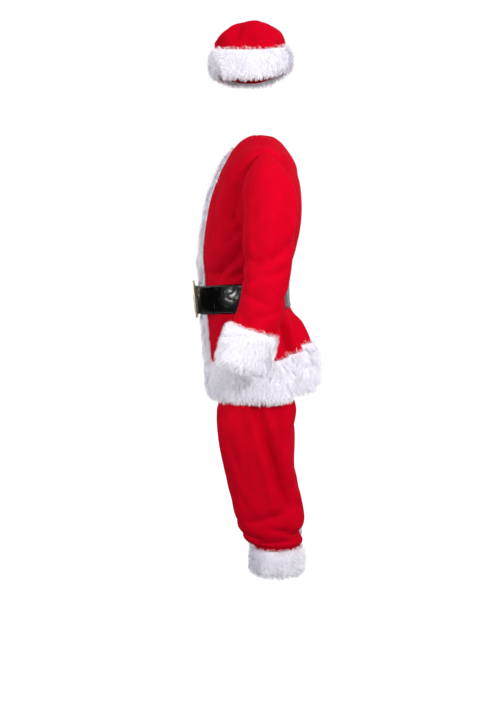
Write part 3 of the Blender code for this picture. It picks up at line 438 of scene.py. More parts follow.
felt_tone = add_node(red_felt, "ShaderNodeValToRGB", {}, {"Fac": felt_patch.outputs["Fac"]})
for stop, at, code in zip(felt_tone.color_ramp.elements, (0.3, 0.7), ("#AE0018", "#BD001B")):
    stop.position = at
    stop.color = linear(code)
felt_fleck = add_node(red_felt, "ShaderNodeMix", {
    "data_type": "RGBA", "blend_type": "MULTIPLY", "Factor": 0.22},
    {6: felt_tone.outputs["Color"], 7: felt_nap.outputs["Fac"]})
felt_height = add_node(red_felt, "ShaderNodeMath", {"operation": "MULTIPLY_ADD", 1: 0.35},
                       {0: felt_rib.outputs["Fac"], 2: felt_nap.outputs["Fac"]})
felt_bump = add_node(red_felt, "ShaderNodeBump", {"Strength": 0.35, "Distance": 0.0006},
                     {"Height": felt_height.outputs["Value"]})
feed(red_felt, "Principled BSDF", "Base Color", felt_fleck.outputs[2])
feed(red_felt, "Principled BSDF", "Normal", felt_bump.outputs["Normal"])

ARMHOLE_STEPS = 10
FRONT_HOLE, BACK_HOLE, HOLE_EDGE = radians(21), radians(36), 1.3
PANEL_ROWS, HOLE_ROWS, SHOULDER_ROWS = 80, 26, 18
BACK_COLUMNS, FRONT_COLUMNS, UNDER_BAND_COLUMNS = 104, 40, 8
BAND_HALF = 0.050


def armhole(step):
    """Levels, front angles and back angles of the armhole's edge, from under the arm (0) to the shoulder."""
    swing = pi * np.asarray(step, float) / ARMHOLE_STEPS
    middle, reach = (UNDERARM + SHOULDER) / 2, (SHOULDER - UNDERARM) / 2
    spread = np.maximum(np.sin(swing), 0.0) ** HOLE_EDGE
    return middle - reach * np.cos(swing), -FRONT_HOLE * spread, BACK_HOLE * spread


def angle_at(level, x):
    """The front angle where the body reaches across to x."""
    body = through(TORSO, level)
    half, square = body[Ring._fields.index("half")], body[Ring._fields.index("square")]
    turn = np.arccos(np.minimum(1.0, np.abs(x) / half) ** (square / 2))
    return np.where(np.asarray(x) >= 0, -turn, turn - pi)


def drape(points, level):
    """The small uneven waves of a loose jacket: gathers where the belt draws it in, and slow drifts
    elsewhere.  The belt itself holds the cloth flat, and the hem's plush steadies it."""
    near_belt = np.exp(-((level - BELT_MIDDLE) / GATHER_RUN) ** 2)
    gathers = soft_noise(points, BODY_GATHERS.size, BODY_GATHERS.seed) * near_belt * BODY_GATHERS.depth
    steadied = np.where(level < PLUSH_TOP, PLUSH_STEADY, 1.0)
    pressed = np.exp(-(np.abs(level - BELT_MIDDLE) / BELT_HOLD) ** 8)
    moved = gathers + waves(points, BODY_DRIFTS) + waves(points, BODY_DIMPLES)
    return moved * steadied * (1 - pressed) - BELT_SINK * pressed


def jacket_face(level, angle):
    """Points and outward directions of the jacket's outer face, folded and waved."""
    points, outward = torso(level, angle)
    above = ease((level - BELT_HIGH) / FADE_ABOVE) * ease((SHOULDER - level) / FADE_SHOULDER)
    fades = above + ease((BELT_LOW - level) / FADE_BELOW)
    shift = fold_shift(points, outward, BODY_FOLDS) * fades + drape(points, level)
    return points + outward * shift[..., None], outward


hole_level, hole_front, hole_back = armhole(np.linspace(0, ARMHOLE_STEPS, HOLE_ROWS))
panel_level = np.concatenate([
    np.linspace(0, UNDERARM, PANEL_ROWS)[:-1], hole_level,
    np.linspace(SHOULDER, NECKLINE, SHOULDER_ROWS)[1:]])
rest_rows = (PANEL_ROWS - 1, SHOULDER_ROWS - 1)
front_edge = np.pad(hole_front, rest_rows)[:, None]
back_edge = np.pad(hole_back, rest_rows)[:, None]
under_band = angle_at(panel_level[:, None], np.linspace(0, BAND_HALF, UNDER_BAND_COLUMNS + 1)[None, :])
towards_side = np.linspace(0, 1, FRONT_COLUMNS + 1)[None, 1:]
beyond_band = under_band[:, -1:] + (front_edge - under_band[:, -1:]) * towards_side
left_angles = np.concatenate([under_band, beyond_band], axis=1)
back_angles = back_edge + (pi - 2 * back_edge) * np.linspace(0, 1, BACK_COLUMNS + 1)[None, :]
felt_panels = {}


def sew_panel(name, grid):
    """Adds a panel of felt in place of one node."""
    felt_panels[name] = fasten(cloth(name + "_felt", grid, red_felt), name)


for name, angles in (
    ("jacket_front_left", left_angles),
    ("jacket_front_right", -pi - left_angles[:, ::-1]),
    ("jacket_back", back_angles),
):
    sew_panel(name, jacket_face(np.broadcast_to(panel_level[:, None], angles.shape), angles)[0])


# ---- plush down the front and round the hem --------------------------------------------------------
# Long-pile acrylic fur on a knitted backing, cut in strips and sewn on.  The hair lies downwards, turns in
# slow swirls and clings in tufts, with a dense short undercoat that hides the backing.

# Acrylic pile is softly glossy and near white.  Its roots carry painted shade: they are made greyer to stand
# for the shade deep in the pile.  No two hairs are quite alike.
white_plush = new_material("long_pile_acrylic_fur", {"Roughness": 0.75, "Specular IOR Level": 0.3})
plush_place = add_node(white_plush, "ShaderNodeUVMap", {"uv_map": "flat_cloth"})
plush_split = add_node(white_plush, "ShaderNodeSeparateXYZ", {}, {"Vector": plush_place.outputs["UV"]})
# Painted shade: grey-lilac at the root, fading to near white towards the tip.
plush_root_shade = add_node(white_plush, "ShaderNodeValToRGB", {}, {"Fac": plush_split.outputs["Y"]})
for stop, at, code in zip(plush_root_shade.color_ramp.elements, (0.0, 0.75), ("#DAD8E3", "#F3F1F7")):
    stop.position = at
    stop.color = linear(code)
plush_vary = add_node(white_plush, "ShaderNodeMapRange", {
    "From Min": 0.0, "From Max": 1.0, "To Min": 0.93, "To Max": 1.0}, {"Value": plush_split.outputs["X"]})
plush_mix = add_node(white_plush, "ShaderNodeMix", {
    "data_type": "RGBA", "blend_type": "MULTIPLY", "Factor": 1.0},
    {6: plush_root_shade.outputs["Color"], 7: plush_vary.outputs["Result"]})
feed(white_plush, "Principled BSDF", "Base Color", plush_mix.outputs[2])

PROFILE_STEPS, UNDER_STEPS = 15, 4
PAD_EDGE, PAD_LIP = 0.55, 0.6            # the power that fills out the pad's section; its share of the lip
UNDERCOAT = 0.55                         # the undercoat's share of the pile's full depth
LUMP_SIZE, LUMP_DEPTH, LUMP_SEED = 0.022, 0.16, 40
# How much the hair fans out at a strip's edges and ends, and how near to them.
EDGE_FAN, EDGE_FAN_POWER, END_FAN, END_COLUMNS = 1.4, 5, 2.4, 2.2
Coat = namedtuple("Coat", "length width spacing lean tuft swirl")
SHAGGY = Coat(0.016, 0.00065, 0.0019, 50, 0.0055, 0.7)
# The coat's swirl, lean and length drift over these sizes, each with its seed, and every hair is off by a
# little of its own.
SWIRL, SWIRL_FINE, UNEVEN_LEAN, UNEVEN_LENGTH = (0.030, 11), (0.011, 12), (0.016, 13), (0.013, 14)
SWIRL_GAIN, LEAN_DRIFT, LENGTH_DRIFT = 1.6, 0.25, 0.25
TURN_SCATTER, LEAN_SCATTER, TWIST_SCATTER, TILT_SCATTER = 0.16, 0.12, 0.5, 0.35
SHORTEST, LENGTH_SPREAD = 0.75, 0.35
HAIR_BEND = 0.48                         # the share of a hair below its bend
ROOT_RISE, ROOT_RUN, TIP_RISE, TIP_RUN = 0.35, 0.8, 0.75, 0.15
HAIR_DROP, HAIR_ROOT, BEND_WIDTH = 0.12, 0.001, 0.8
MIDDLE_CLING, TIP_CLING, TIP_CLING_MORE = 0.15, 0.35, 0.3
# A point's place on the flat cloth holds, for plush, the hair's own tone and how far up the hair it is.  That
# height sets how much painted shade it takes towards the root.  The pad sits low and takes the painted shade
# of a hair's lower part.
PAD_TONE, ROOT_TONE, BEND_TONE, TIP_TONE = (0.5, 0.30), 0.15, 0.7, 1.0


def straight(table, at):
    """A table's second column where its first is at these values, straight between its rows."""
    return np.interp(at, *zip(*table))


def resample(grid, rows):
    """A grid's points at fractional row numbers, straight between its rows."""
    first = np.clip(rows.astype(int), 0, len(grid) - 2)
    t = (rows - first)[:, None, None]
    return grid[first] * (1 - t) + grid[first + 1] * t


def undercoat(foot, outward, depth, lip, closed):
    """The pad under the hair, over a foot of rows across the strip and columns along it: the pad's rounded
    top as a grid, and rows that go back beneath it."""
    turn = np.linspace(0, pi, PROFILE_STEPS)
    a, rise = -signed_power(np.cos(turn), PAD_EDGE), np.sin(turn) ** PAD_EDGE
    half = lengths_along(foot, 0)[-1].mean() / 2
    reach = a * (1 + lip / half)
    inside = np.clip((reach + 1) / 2, 0, 1) * (len(foot) - 1)
    top, out = resample(foot, inside), unit(resample(outward, inside))
    first, last = unit(foot[0] - foot[1]), unit(foot[-1] - foot[-2])
    over = (np.maximum(np.abs(reach) - 1, 0) * half)[:, None, None]
    top = top + np.where((a < 0)[:, None, None], first, last) * over
    deep = resample(depth[..., None], inside)
    top = top + out * (LINE + deep * rise[:, None, None])
    back = np.linspace(len(foot) - 1, 0, UNDER_STEPS)
    beneath = resample(foot, back) + resample(outward, back) * LINE
    if closed:
        top[:, -1], beneath[:, -1] = top[:, 0], beneath[:, 0]
    return top, beneath


def hairs(rng, top, coat, lay, short):
    """Points, faces and tones of the hair on a pad.  At each grid point, lay is the direction that the hair
    is combed in and short its share of the full length.  A hair is a curved blade, drawn towards its tuft."""
    out = outward_of(top)
    corners = [top[:-1, :-1], top[:-1, 1:], top[1:, 1:], top[1:, :-1]]
    areas = (np.linalg.norm(np.cross(corners[2] - corners[0], corners[3] - corners[1]), axis=-1) / 2).ravel()
    count = int(areas.sum() / coat.spacing ** 2)
    cell = rng.choice(len(areas), count, p=areas / areas.sum())
    row, column = np.unravel_index(cell, corners[0].shape[:2])
    u, v = rng.random((2, count, 1))

    def sampled(grid):
        low = grid[row, column] * (1 - v) + grid[row, column + 1] * v
        return low * (1 - u) + (grid[row + 1, column] * (1 - v) + grid[row + 1, column + 1] * v) * u

    root, normal, comb = sampled(top), unit(sampled(out)), sampled(lay)
    comb = unit(comb - normal * (comb * normal).sum(-1, keepdims=True))
    aside = np.cross(normal, comb)
    swirl = soft_noise(root, *SWIRL) * SWIRL_GAIN + soft_noise(root, *SWIRL_FINE)
    turn = coat.swirl * swirl + rng.normal(0, TURN_SCATTER, count)
    comb = comb * np.cos(turn)[:, None] + aside * np.sin(turn)[:, None]
    lean = np.radians(coat.lean) + rng.normal(0, LEAN_SCATTER, count)
    lean = lean + LEAN_DRIFT * soft_noise(root, *UNEVEN_LEAN)
    uneven = SHORTEST + LENGTH_SPREAD * rng.random(count) + LENGTH_DRIFT * soft_noise(root, *UNEVEN_LENGTH)
    length = coat.length * uneven
    length = (length * sampled(short[..., None])[:, 0])[:, None]
    rise, run = np.cos(lean)[:, None], np.sin(lean)[:, None]
    start = normal * (rise + ROOT_RISE) + comb * run * ROOT_RUN
    end = normal * (rise * TIP_RISE) + comb * (run + TIP_RUN) - (0, 0, HAIR_DROP)
    middle = root + unit(start) * length * HAIR_BEND
    tip = middle + unit(end) * length * (1 - HAIR_BEND)

    seeds = rng.choice(count, max(1, int(count * (coat.spacing / coat.tuft) ** 2)), replace=False)
    tree = KDTree(len(seeds))
    for number, seed in enumerate(seeds):
        tree.insert(root[seed], number)
    tree.balance()
    nearest = seeds[np.array([tree.find(point)[1] for point in root])]
    tip = tip + (tip[nearest] - tip) * (TIP_CLING + TIP_CLING_MORE * rng.random((count, 1)))
    middle = middle + (middle[nearest] - middle) * MIDDLE_CLING

    side = unit(np.cross(normal, tip - root)) * np.cos(TWIST_SCATTER * rng.normal(0, 1, count))[:, None]
    side = unit(side + normal * rng.normal(0, TILT_SCATTER, (count, 1))) * coat.width / 2
    root = root - normal * HAIR_ROOT
    points = np.stack([
        root - side, root + side, middle - side * BEND_WIDTH, middle + side * BEND_WIDTH, tip], axis=1)
    up_hair = np.array([ROOT_TONE, ROOT_TONE, BEND_TONE, BEND_TONE, TIP_TONE])
    tones = np.stack(np.broadcast_arrays(rng.random(count)[:, None], up_hair), axis=-1)
    base = np.arange(count)[:, None] * 5
    return points.reshape(-1, 3), [base + [[0, 1, 3, 2]], base + [[2, 3, 4]]], tones.reshape(-1, 2)


def closed_skin(ring, closed=False):
    """Points and faces of a closed skin.  The rows of the grid go round it and the columns along it; the
    columns' ends are capped, or joined to each other."""
    if closed:
        ring = ring[:, :-1]
    points = ring.reshape(-1, 3)
    index = np.arange(len(points)).reshape(ring.shape[:2])
    index = np.concatenate([index, index[:1]])
    faces = [quads(np.concatenate([index, index[:, :1]], axis=1) if closed else index)]
    if not closed:
        faces += [index[-2::-1, 0][None, :], index[:-1, -1][None, :]]
    a, b, c, d = np.moveaxis(points[faces[0]] - points.mean(axis=0), 1, 0)
    inside_out = (np.cross(c - a, d - b) * (a + c)).sum() < 0
    return points, [face[:, ::-1] for face in faces] if inside_out else faces


def fur_piece(name, node, pad, hair):
    """A piece of plush in place of one node, from its pad and the hair that grows from it."""
    (points, faces), (hair_points, hair_faces, hair_tones) = pad, hair
    all_faces = [*faces, *(blades + len(points) for blades in hair_faces)]
    tones = np.concatenate([np.full((len(points), 2), PAD_TONE), hair_tones])
    piece = mesh_object(name, np.concatenate([points, hair_points]), all_faces, white_plush, tones)
    fasten(piece, node)


def plush(name, node, foot, outward, depth, lip, lay, closed=False, short=None, seed=1):
    """A strip of plush on a foot of rows across the strip and columns along it.  It stands past the foot's
    first and last rows by the lip, and its hair fans out over its edges and, if it has them, its ends."""
    rng = np.random.default_rng(seed)
    lumps = 1 + LUMP_DEPTH * soft_noise(foot, LUMP_SIZE, seed + LUMP_SEED)
    top, beneath = undercoat(foot, outward, depth * UNDERCOAT * lumps, lip * PAD_LIP, closed)
    pad = closed_skin(np.concatenate([top, beneath[1:-1]]), closed)
    top = np.concatenate([beneath[-1:], top, beneath[:1]])
    rows = np.concatenate([[0], np.linspace(0, len(foot) - 1, len(top) - 2), [len(foot) - 1]])
    fan = signed_power(np.linspace(-1, 1, len(foot)), EDGE_FAN_POWER)[:, None, None] * EDGE_FAN
    lay = unit(lay) + unit(np.gradient(foot, axis=0)) * fan
    if not closed:
        steps = np.arange(foot.shape[1])
        ends = np.exp(-steps[::-1] / END_COLUMNS) - np.exp(-steps / END_COLUMNS)
        lay = lay + unit(np.gradient(foot, axis=1)) * ends[None, :, None] * END_FAN
    trimmed = resample((np.ones(depth.shape) if short is None else short)[..., None], rows)[..., 0]
    fur_piece(name, node, pad, hairs(rng, top, SHAGGY, resample(lay, rows), trimmed))


# The strip over the closing runs from the neckline to the hem, flattened where the belt crosses it.
Pile = namedtuple("Pile", "level depth")
BAND_PILE = [
    Pile(0, 0.018), Pile(1, 0.021), Pile(2, 0.024), Pile(2.8, 0.0225), Pile(3, 0.0185), Pile(3.5, 0.0195),
    Pile(4, 0.0205), Pile(4.2, 0.0195), Pile(5, 0.0165), Pile(6, 0.012), Pile(7, 0.010), Pile(9, 0.010),
    Pile(14, 0.010),
]
Share = namedtuple("Share", "at share")
BAND_CROWN = [Share(-0.050, 0.62), Share(-0.025, 0.96), Share(0, 1.0), Share(0.025, 0.96), Share(0.050, 0.62)]
BAND_TRIM = [Share(0, 1), Share(5, 1), Share(7, 0.85), Share(14, 0.8)]
BAND_ROWS, BAND_LENGTH, BAND_LIP = 21, 170, 0.004
BAND_TAPER, BAND_END = 0.25, 0.03        # over how many rings its ends round off, and where that stops
HAIR_PRESSED = 0.93                      # what the belt takes off the hair's length
PAD_PRESSED = 1.05                       # under it the pad alone fills the pile's depth, less a little
HAIR_PARTED = 0.55                       # how far the hair parts to the sides
band_across, band_level = crossed(
    np.linspace(-BAND_HALF, BAND_HALF, BAND_ROWS), np.linspace(0.0, NECKLINE, BAND_LENGTH))
band_foot, band_out = jacket_face(band_level, angle_at(band_level, band_across))
band_depth = straight(BAND_PILE, band_level) * straight(BAND_CROWN, band_across)
under_belt = np.exp(-(np.abs(band_level - BELT_MIDDLE) / BELT_HOLD) ** 6)
band_depth = band_depth * (1 + (1 / UNDERCOAT - PAD_PRESSED) * under_belt)
end_round = np.clip(np.minimum(band_level, NECKLINE - band_level) / BAND_TAPER, BAND_END, 1) ** 0.5
band_short = (1 - HAIR_PRESSED * under_belt) * straight(BAND_TRIM, band_level)
plush("front_band_fur", "front_band", band_foot, band_out, band_depth * end_round, BAND_LIP,
      vectors(band_across / BAND_HALF * HAIR_PARTED, 0.0, -1.0), short=band_short, seed=21)

HEM_PILE = [Pile(0, 0.018), Pile(0.5, 0.021), Pile(1, 0.016)]
HEM_ROWS, HEM_LENGTH, HEM_LIP, HEM_LAP = 17, 260, 0.008, 0.002
hem_start = float(angle_at(0.5, BAND_HALF - HEM_LAP))
hem_level, hem_angle = crossed(
    np.linspace(0, 1, HEM_ROWS), np.linspace(hem_start, -pi - hem_start + 2 * pi, HEM_LENGTH))
hem_foot, hem_out = jacket_face(hem_level, hem_angle)
plush("hem_fur", "hem_plush", hem_foot, hem_out, straight(HEM_PILE, hem_level), HEM_LIP,
      np.full_like(hem_foot, (0, 0, -1.0)), seed=22)


# ---- sleeves and their cuffs -----------------------------------------------------------------------
# Each sleeve is one piece of felt, seamed under the arm and eased into the armhole.  A wide strip of plush
# goes round its end, with the hair combed forwards and down.

Sleeve = namedtuple("Sleeve", "outer_x outer_z inner_x inner_z front_y back_y tilt")
SLEEVE = [
    Sleeve(0.223, 1.494, 0.192, 1.320, -0.040, 0.098, 0.000),
    Sleeve(0.250, 1.472, 0.195, 1.310, -0.036, 0.103, 0.000),
    Sleeve(0.272, 1.436, 0.196, 1.298, -0.033, 0.106, 0.000),
    Sleeve(0.291, 1.385, 0.197, 1.280, -0.031, 0.106, 0.000),
    Sleeve(0.306, 1.325, 0.198, 1.253, -0.033, 0.102, 0.000),
    Sleeve(0.316, 1.265, 0.200, 1.218, -0.036, 0.096, 0.000),
    Sleeve(0.323, 1.205, 0.204, 1.176, -0.037, 0.090, 0.003),
    Sleeve(0.329, 1.150, 0.211, 1.133, -0.040, 0.081, 0.006),
    Sleeve(0.335, 1.098, 0.219, 1.088, -0.047, 0.069, 0.011),
    Sleeve(0.341, 1.050, 0.230, 1.043, -0.063, 0.048, 0.016),
    Sleeve(0.345, 1.005, 0.241, 0.998, -0.076, 0.031, 0.018),
    Sleeve(0.347, 0.947, 0.245, 0.942, -0.088, 0.018, 0.017),
]
SLEEVE_END, CUFF_TOP, SLEEVE_SQUARE = 11.0, 9.3, 2.15
SLEEVE_ROWS, SLEEVE_COLUMNS = 92, 80
SLEEVE_FOLDS = {
    "left": [
        (0.000, 1.455, -0.022, 1.380, 0.013, 0.007), (0.070, 1.395, 0.098, 1.330, 0.016, 0.008),
        (0.096, 1.262, 0.040, 1.218, 0.013, 0.009), (0.086, 1.196, 0.028, 1.176, 0.011, 0.007),
        (-0.034, 1.132, 0.022, 1.104, 0.012, 0.008), (-0.036, 1.232, 0.004, 1.206, 0.012, 0.006),
        (-0.050, 1.080, -0.014, 1.052, 0.011, 0.005), (0.056, 1.088, 0.006, 1.070, 0.012, 0.006),
        (0.050, 1.330, 0.038, 1.240, 0.018, -0.004), (-0.010, 1.345, -0.004, 1.240, 0.014, 0.004),
    ],
    "front": [
        (0.235, 1.225, 0.290, 1.205, 0.014, 0.008), (0.240, 1.180, 0.300, 1.165, 0.012, 0.007),
    ],
    "back": [
        (0.225, 1.300, 0.270, 1.255, 0.018, 0.008), (0.240, 1.130, 0.300, 1.112, 0.013, 0.007),
    ],
}
SLEEVE_DRIFTS, SLEEVE_DIMPLES = Wave((0.045, 0.035, 0.11), 6, 0.0030), Wave((0.020, 0.020, 0.032), 7, 0.0006)
HEAD_GATHERS = Wave((0.012, 0.0095, 0.012), 8, 0.0014)
# In rows: over how much the sleeve leaves the armhole, its folds and waves come in and its folds go out
# at the cuff, and where its head is gathered.
HEAD_BLEND, FOLDS_IN, FOLDS_OUT, DRIFTS_IN, DIMPLES_IN, GATHERS_IN = 2.2, 0.8, 0.6, 1.0, 0.5, 0.3
UNDER_CUFF, GATHERED_AT, GATHERED_REACH = 0.2, 0.5, 0.4
SIDES = {"left": 1, "right": -1}


def mirrored(side, points, outward):
    """A left limb's points and directions as they are, or those of the right limb."""
    flip = np.array([side, 1, 1])
    return points * flip, outward * flip


def sleeve(row, turn):
    """Points and outward directions of the left sleeve.  The turn is 0 under the arm, then at the front."""
    outer_x, outer_z, inner_x, inner_z, front_y, back_y, tilt = through(SLEEVE, row)
    x, y, out_x, out_y = rounded(turn, SLEEVE_SQUARE)
    middle = vectors((outer_x + inner_x) / 2, (front_y + back_y) / 2, (outer_z + inner_z) / 2)
    inwards = vectors((inner_x - outer_x) / 2, 0.0, (inner_z - outer_z) / 2)
    forwards = vectors(0.0, (front_y - back_y) / 2, tilt)
    outward = unit(unit(inwards) * out_x[..., None] + unit(forwards) * out_y[..., None])
    return middle + inwards * x[..., None] + forwards * y[..., None], outward


def sleeve_face(row, turn, side):
    """A sleeve's outer face: joined to the armhole at its head, eased there, folded and waved."""
    points, outward = sleeve(row, turn)
    shift = fold_shift(points, outward, SLEEVE_FOLDS) * ease((CUFF_TOP + UNDER_CUFF - row) / FOLDS_OUT)
    shift = shift * ease(row / FOLDS_IN)
    points, outward = mirrored(side, points, outward)
    step = turn / pi * ARMHOLE_STEPS
    level, front, back = armhole(np.where(step > ARMHOLE_STEPS, 2 * ARMHOLE_STEPS - step, step))
    angle = np.where(step > ARMHOLE_STEPS, back, front)
    hole, hole_out = jacket_face(level, angle if side > 0 else pi - angle)
    hole = hole - hole_out * GROOVE - SEAM * np.array([side, 0, 0])
    blend = ease(row / HEAD_BLEND)[..., None]
    points = hole * (1 - blend) + points * blend
    shift += waves(points, SLEEVE_DRIFTS) * ease(row / DRIFTS_IN)
    shift += waves(points, SLEEVE_DIMPLES) * ease(row / DIMPLES_IN)
    at_head = np.exp(-((row - GATHERED_AT) / GATHERED_REACH) ** 2)
    shift += waves(points, HEAD_GATHERS) * at_head * ease(row / GATHERS_IN)
    return points + outward * shift[..., None], outward


CUFF_PILE, CUFF_LIP = [Pile(CUFF_TOP, 0.014), Pile(10.2, 0.024), Pile(SLEEVE_END, 0.026)], 0.008
CUFF_ROWS, CUFF_LENGTH = 17, 140
CUFF_ROUND, CUFF_DOWN = 0.6, (0, 0, -0.9)    # how much the hair is combed round the arm and down
sleeve_row, sleeve_turn = crossed(
    np.linspace(0.0, SLEEVE_END, SLEEVE_ROWS), np.linspace(0.0, 2 * pi, SLEEVE_COLUMNS + 1))
cuff_row, cuff_turn = crossed(
    np.linspace(CUFF_TOP, SLEEVE_END, CUFF_ROWS), np.linspace(0, 2 * pi, CUFF_LENGTH + 1))
cuff_depth = straight(CUFF_PILE, cuff_row)
cuff_forwards = np.sign(np.cos(cuff_turn) + 0.001)[..., None] * CUFF_ROUND
for name, side in SIDES.items():
    sew_panel(f"sleeve_{name}", sleeve_face(sleeve_row, sleeve_turn, side)[0])
    foot, foot_out = sleeve_face(cuff_row, cuff_turn, side)
    lay = unit(np.gradient(foot, axis=1)) * cuff_forwards + CUFF_DOWN
    plush(f"sleeve_cuff_{name}_fur", f"sleeve_cuff_{name}", foot, foot_out, cuff_depth, CUFF_LIP, lay,
          closed=True, seed=23)


# ---- belt, buckle and prong ------------------------------------------------------------------------
# One strap of black vinyl on a felt core, stitched along both edges.  It is sewn to the buckle's centre
# bar, goes round the body, comes back over the bar and tucks its free end under itself.

BELT_THICK, BELT_HALF = 0.0028, 0.038
BUCKLE_Z = 1.108
STRAP_LEAN = 0.050
STRAP_ROWS, STRAP_SQUARE = 19, 12
STRAP_WAVES = Wave((0.05, 0.05, 0.09), 9, 0.0007)
Lift = namedtuple("Lift", "x clear")
BAND_LIFT = [
    Lift(0.0, 0.0215), Lift(0.030, 0.0213), Lift(0.048, 0.0195), Lift(0.066, 0.0130), Lift(0.085, 0.0070),
    Lift(0.105, 0.0026), Lift(0.125, 0.0004), Lift(0.150, 0.0),
]
CROSSING = [
    Lift(-0.0200, 0.0050), Lift(-0.0085, 0.0102), Lift(0.0, 0.0106), Lift(0.0085, 0.0103),
    Lift(0.0200, 0.0076),
]
BAR_X, FRONT_END_X, SIDE_X = 0.004, 0.085, 0.0865
TAIL_START, TAIL_END, TAIL_GAP = 0.030, 0.118, BELT_THICK + 0.0007
FRONT_STEPS, ROUND_STEPS, CROSSING_STEPS, TAIL_STEPS = 42, 300, 21, 44

# Vinyl coating is black right through and smooth enough to shine.  Its embossed grain and the soft ripples
# of the core break its highlights up, and the strap is a little crowned across.
GRAIN, RIPPLE = 0.0016, 0.026
GRAIN_HEIGHT, RIPPLE_HEIGHT, CROWN_BEND = 0.00005, 0.0036, -4.0
black_vinyl = new_material("glossy_black_vinyl", {
    "Base Color": linear("#050506"), "Roughness": 0.24, "Specular IOR Level": 0.16})
vinyl_place = add_node(black_vinyl, "ShaderNodeUVMap", {"uv_map": "flat_cloth"})
vinyl_grain = add_node(black_vinyl, "ShaderNodeTexVoronoi", {"Scale": 1 / GRAIN},
                       {"Vector": vinyl_place.outputs["UV"]})
vinyl_ripple = add_node(black_vinyl, "ShaderNodeTexNoise", {
    "Scale": 1 / RIPPLE, "Detail": 1.5, "Distortion": 0.5}, {"Vector": vinyl_place.outputs["UV"]})
vinyl_split = add_node(black_vinyl, "ShaderNodeSeparateXYZ", {}, {"Vector": vinyl_place.outputs["UV"]})
vinyl_off = add_node(black_vinyl, "ShaderNodeMath", {"operation": "SUBTRACT", 1: BELT_HALF},
                     {0: vinyl_split.outputs["Y"]})
vinyl_square = add_node(black_vinyl, "ShaderNodeMath", {"operation": "MULTIPLY"},
                        {0: vinyl_off.outputs["Value"], 1: vinyl_off.outputs["Value"]})
vinyl_crown = add_node(black_vinyl, "ShaderNodeMath", {"operation": "MULTIPLY", 1: CROWN_BEND},
                       {0: vinyl_square.outputs["Value"]})
vinyl_creased = add_node(black_vinyl, "ShaderNodeMath", {"operation": "MULTIPLY_ADD", 1: RIPPLE_HEIGHT},
                         {0: vinyl_ripple.outputs["Fac"], 2: vinyl_crown.outputs["Value"]})
vinyl_height = add_node(black_vinyl, "ShaderNodeMath", {"operation": "MULTIPLY_ADD", 1: GRAIN_HEIGHT},
                        {0: vinyl_grain.outputs["Distance"], 2: vinyl_creased.outputs["Value"]})
vinyl_bump = add_node(black_vinyl, "ShaderNodeBump", {"Strength": 1.0, "Distance": 1.0},
                      {"Height": vinyl_height.outputs["Value"]})
feed(black_vinyl, "Principled BSDF", "Normal", vinyl_bump.outputs["Normal"])

strap_level = np.linspace(BELT_LOW, BELT_HIGH, STRAP_ROWS)[:, None]


def strap_face(angle, layer=0.0, extra=0.0):
    """The strap's inner face at angles round the body, a row for each height across the strap.  It lies off
    the body by the layer, and further forwards by the extra and by what the plush band lifts it."""
    points, outward = torso(np.broadcast_to(strap_level, angle.shape), angle)
    clear = straight(BAND_LIFT, np.abs(points[..., 0])) * (np.sin(angle) < 0)
    lean = STRAP_LEAN * (points[..., 2] - BUCKLE_Z) * clear / BAND_LIFT[0].clear
    points = points + outward * (LINE + layer + waves(points, STRAP_WAVES) * (clear < 0.001))[..., None]
    return points - (clear + lean + extra)[..., None] * np.array([0.0, 1.0, 0.0]), outward


def strap_at(x, layer=0.0, extra=0.0):
    """The same at places across the front."""
    return strap_face(angle_at(strap_level, x[None, :]), layer, extra)


front_x = np.linspace(BAR_X, FRONT_END_X, FRONT_STEPS)
crossing_x = np.linspace(CROSSING[0].x, CROSSING[-1].x, CROSSING_STEPS)
side_angle = angle_at(strap_level, SIDE_X)
stretches = [
    strap_at(front_x),
    strap_face(side_angle + (pi - 2 * side_angle) * np.linspace(0, 1, ROUND_STEPS)[None, :]),
    strap_at(-front_x[::-1]),
    strap_at(crossing_x, extra=straight(CROSSING, crossing_x)[None, :]),
    strap_at(np.linspace(TAIL_START, TAIL_END, TAIL_STEPS), TAIL_GAP),
]
strap_points, strap_out = (np.concatenate(parts, axis=1) for parts in zip(*stretches))
edge_round = np.sqrt(1 - np.linspace(-1, 1, STRAP_ROWS) ** STRAP_SQUARE)[:, None, None]
strap_outer = strap_points + strap_out * BELT_THICK * (0.5 + 0.5 * edge_round)
strap_inner = strap_points + strap_out * BELT_THICK * (0.5 - 0.5 * edge_round)
strap_flat = np.stack([lengths_along(strap_points, 1), lengths_along(strap_points, 0)], axis=-1)
belt_flat = np.concatenate([strap_flat, strap_flat[-2:0:-1]])
belt_points, belt_faces = closed_skin(np.concatenate([strap_outer, strap_inner[-2:0:-1]]))
belt = mesh_object("belt_strap", belt_points, belt_faces, black_vinyl, belt_flat)
fasten(belt, "belt")

# The prong's hole is punched through the strap just beside the centre bar.
PUNCH_AT, PUNCH_SIZE = (-0.0112, -0.1720, BUCKLE_Z), (0.0145, 0.0140, 0.0060)
punch = bpy.data.objects.new("prong_hole_punch", bpy.data.meshes.new("prong_hole_punch"))
punch_corners = np.array([(x, y, z) for x in (-0.5, 0.5) for y in (-0.5, 0.5) for z in (-0.5, 0.5)])
punch.data.from_pydata((punch_corners * PUNCH_SIZE + PUNCH_AT - (0, 0, NECK_HEIGHT)).tolist(), [], [
    (0, 1, 3, 2), (4, 6, 7, 5), (0, 4, 5, 1), (2, 3, 7, 6), (0, 2, 6, 4), (1, 5, 7, 3)])
bpy.context.scene.collection.objects.link(punch)
punch.hide_render = True
punch.display_type = "WIRE"
punched = belt.modifiers.new("prong_hole", "BOOLEAN")
punched.operation = "DIFFERENCE"
punched.object = punch

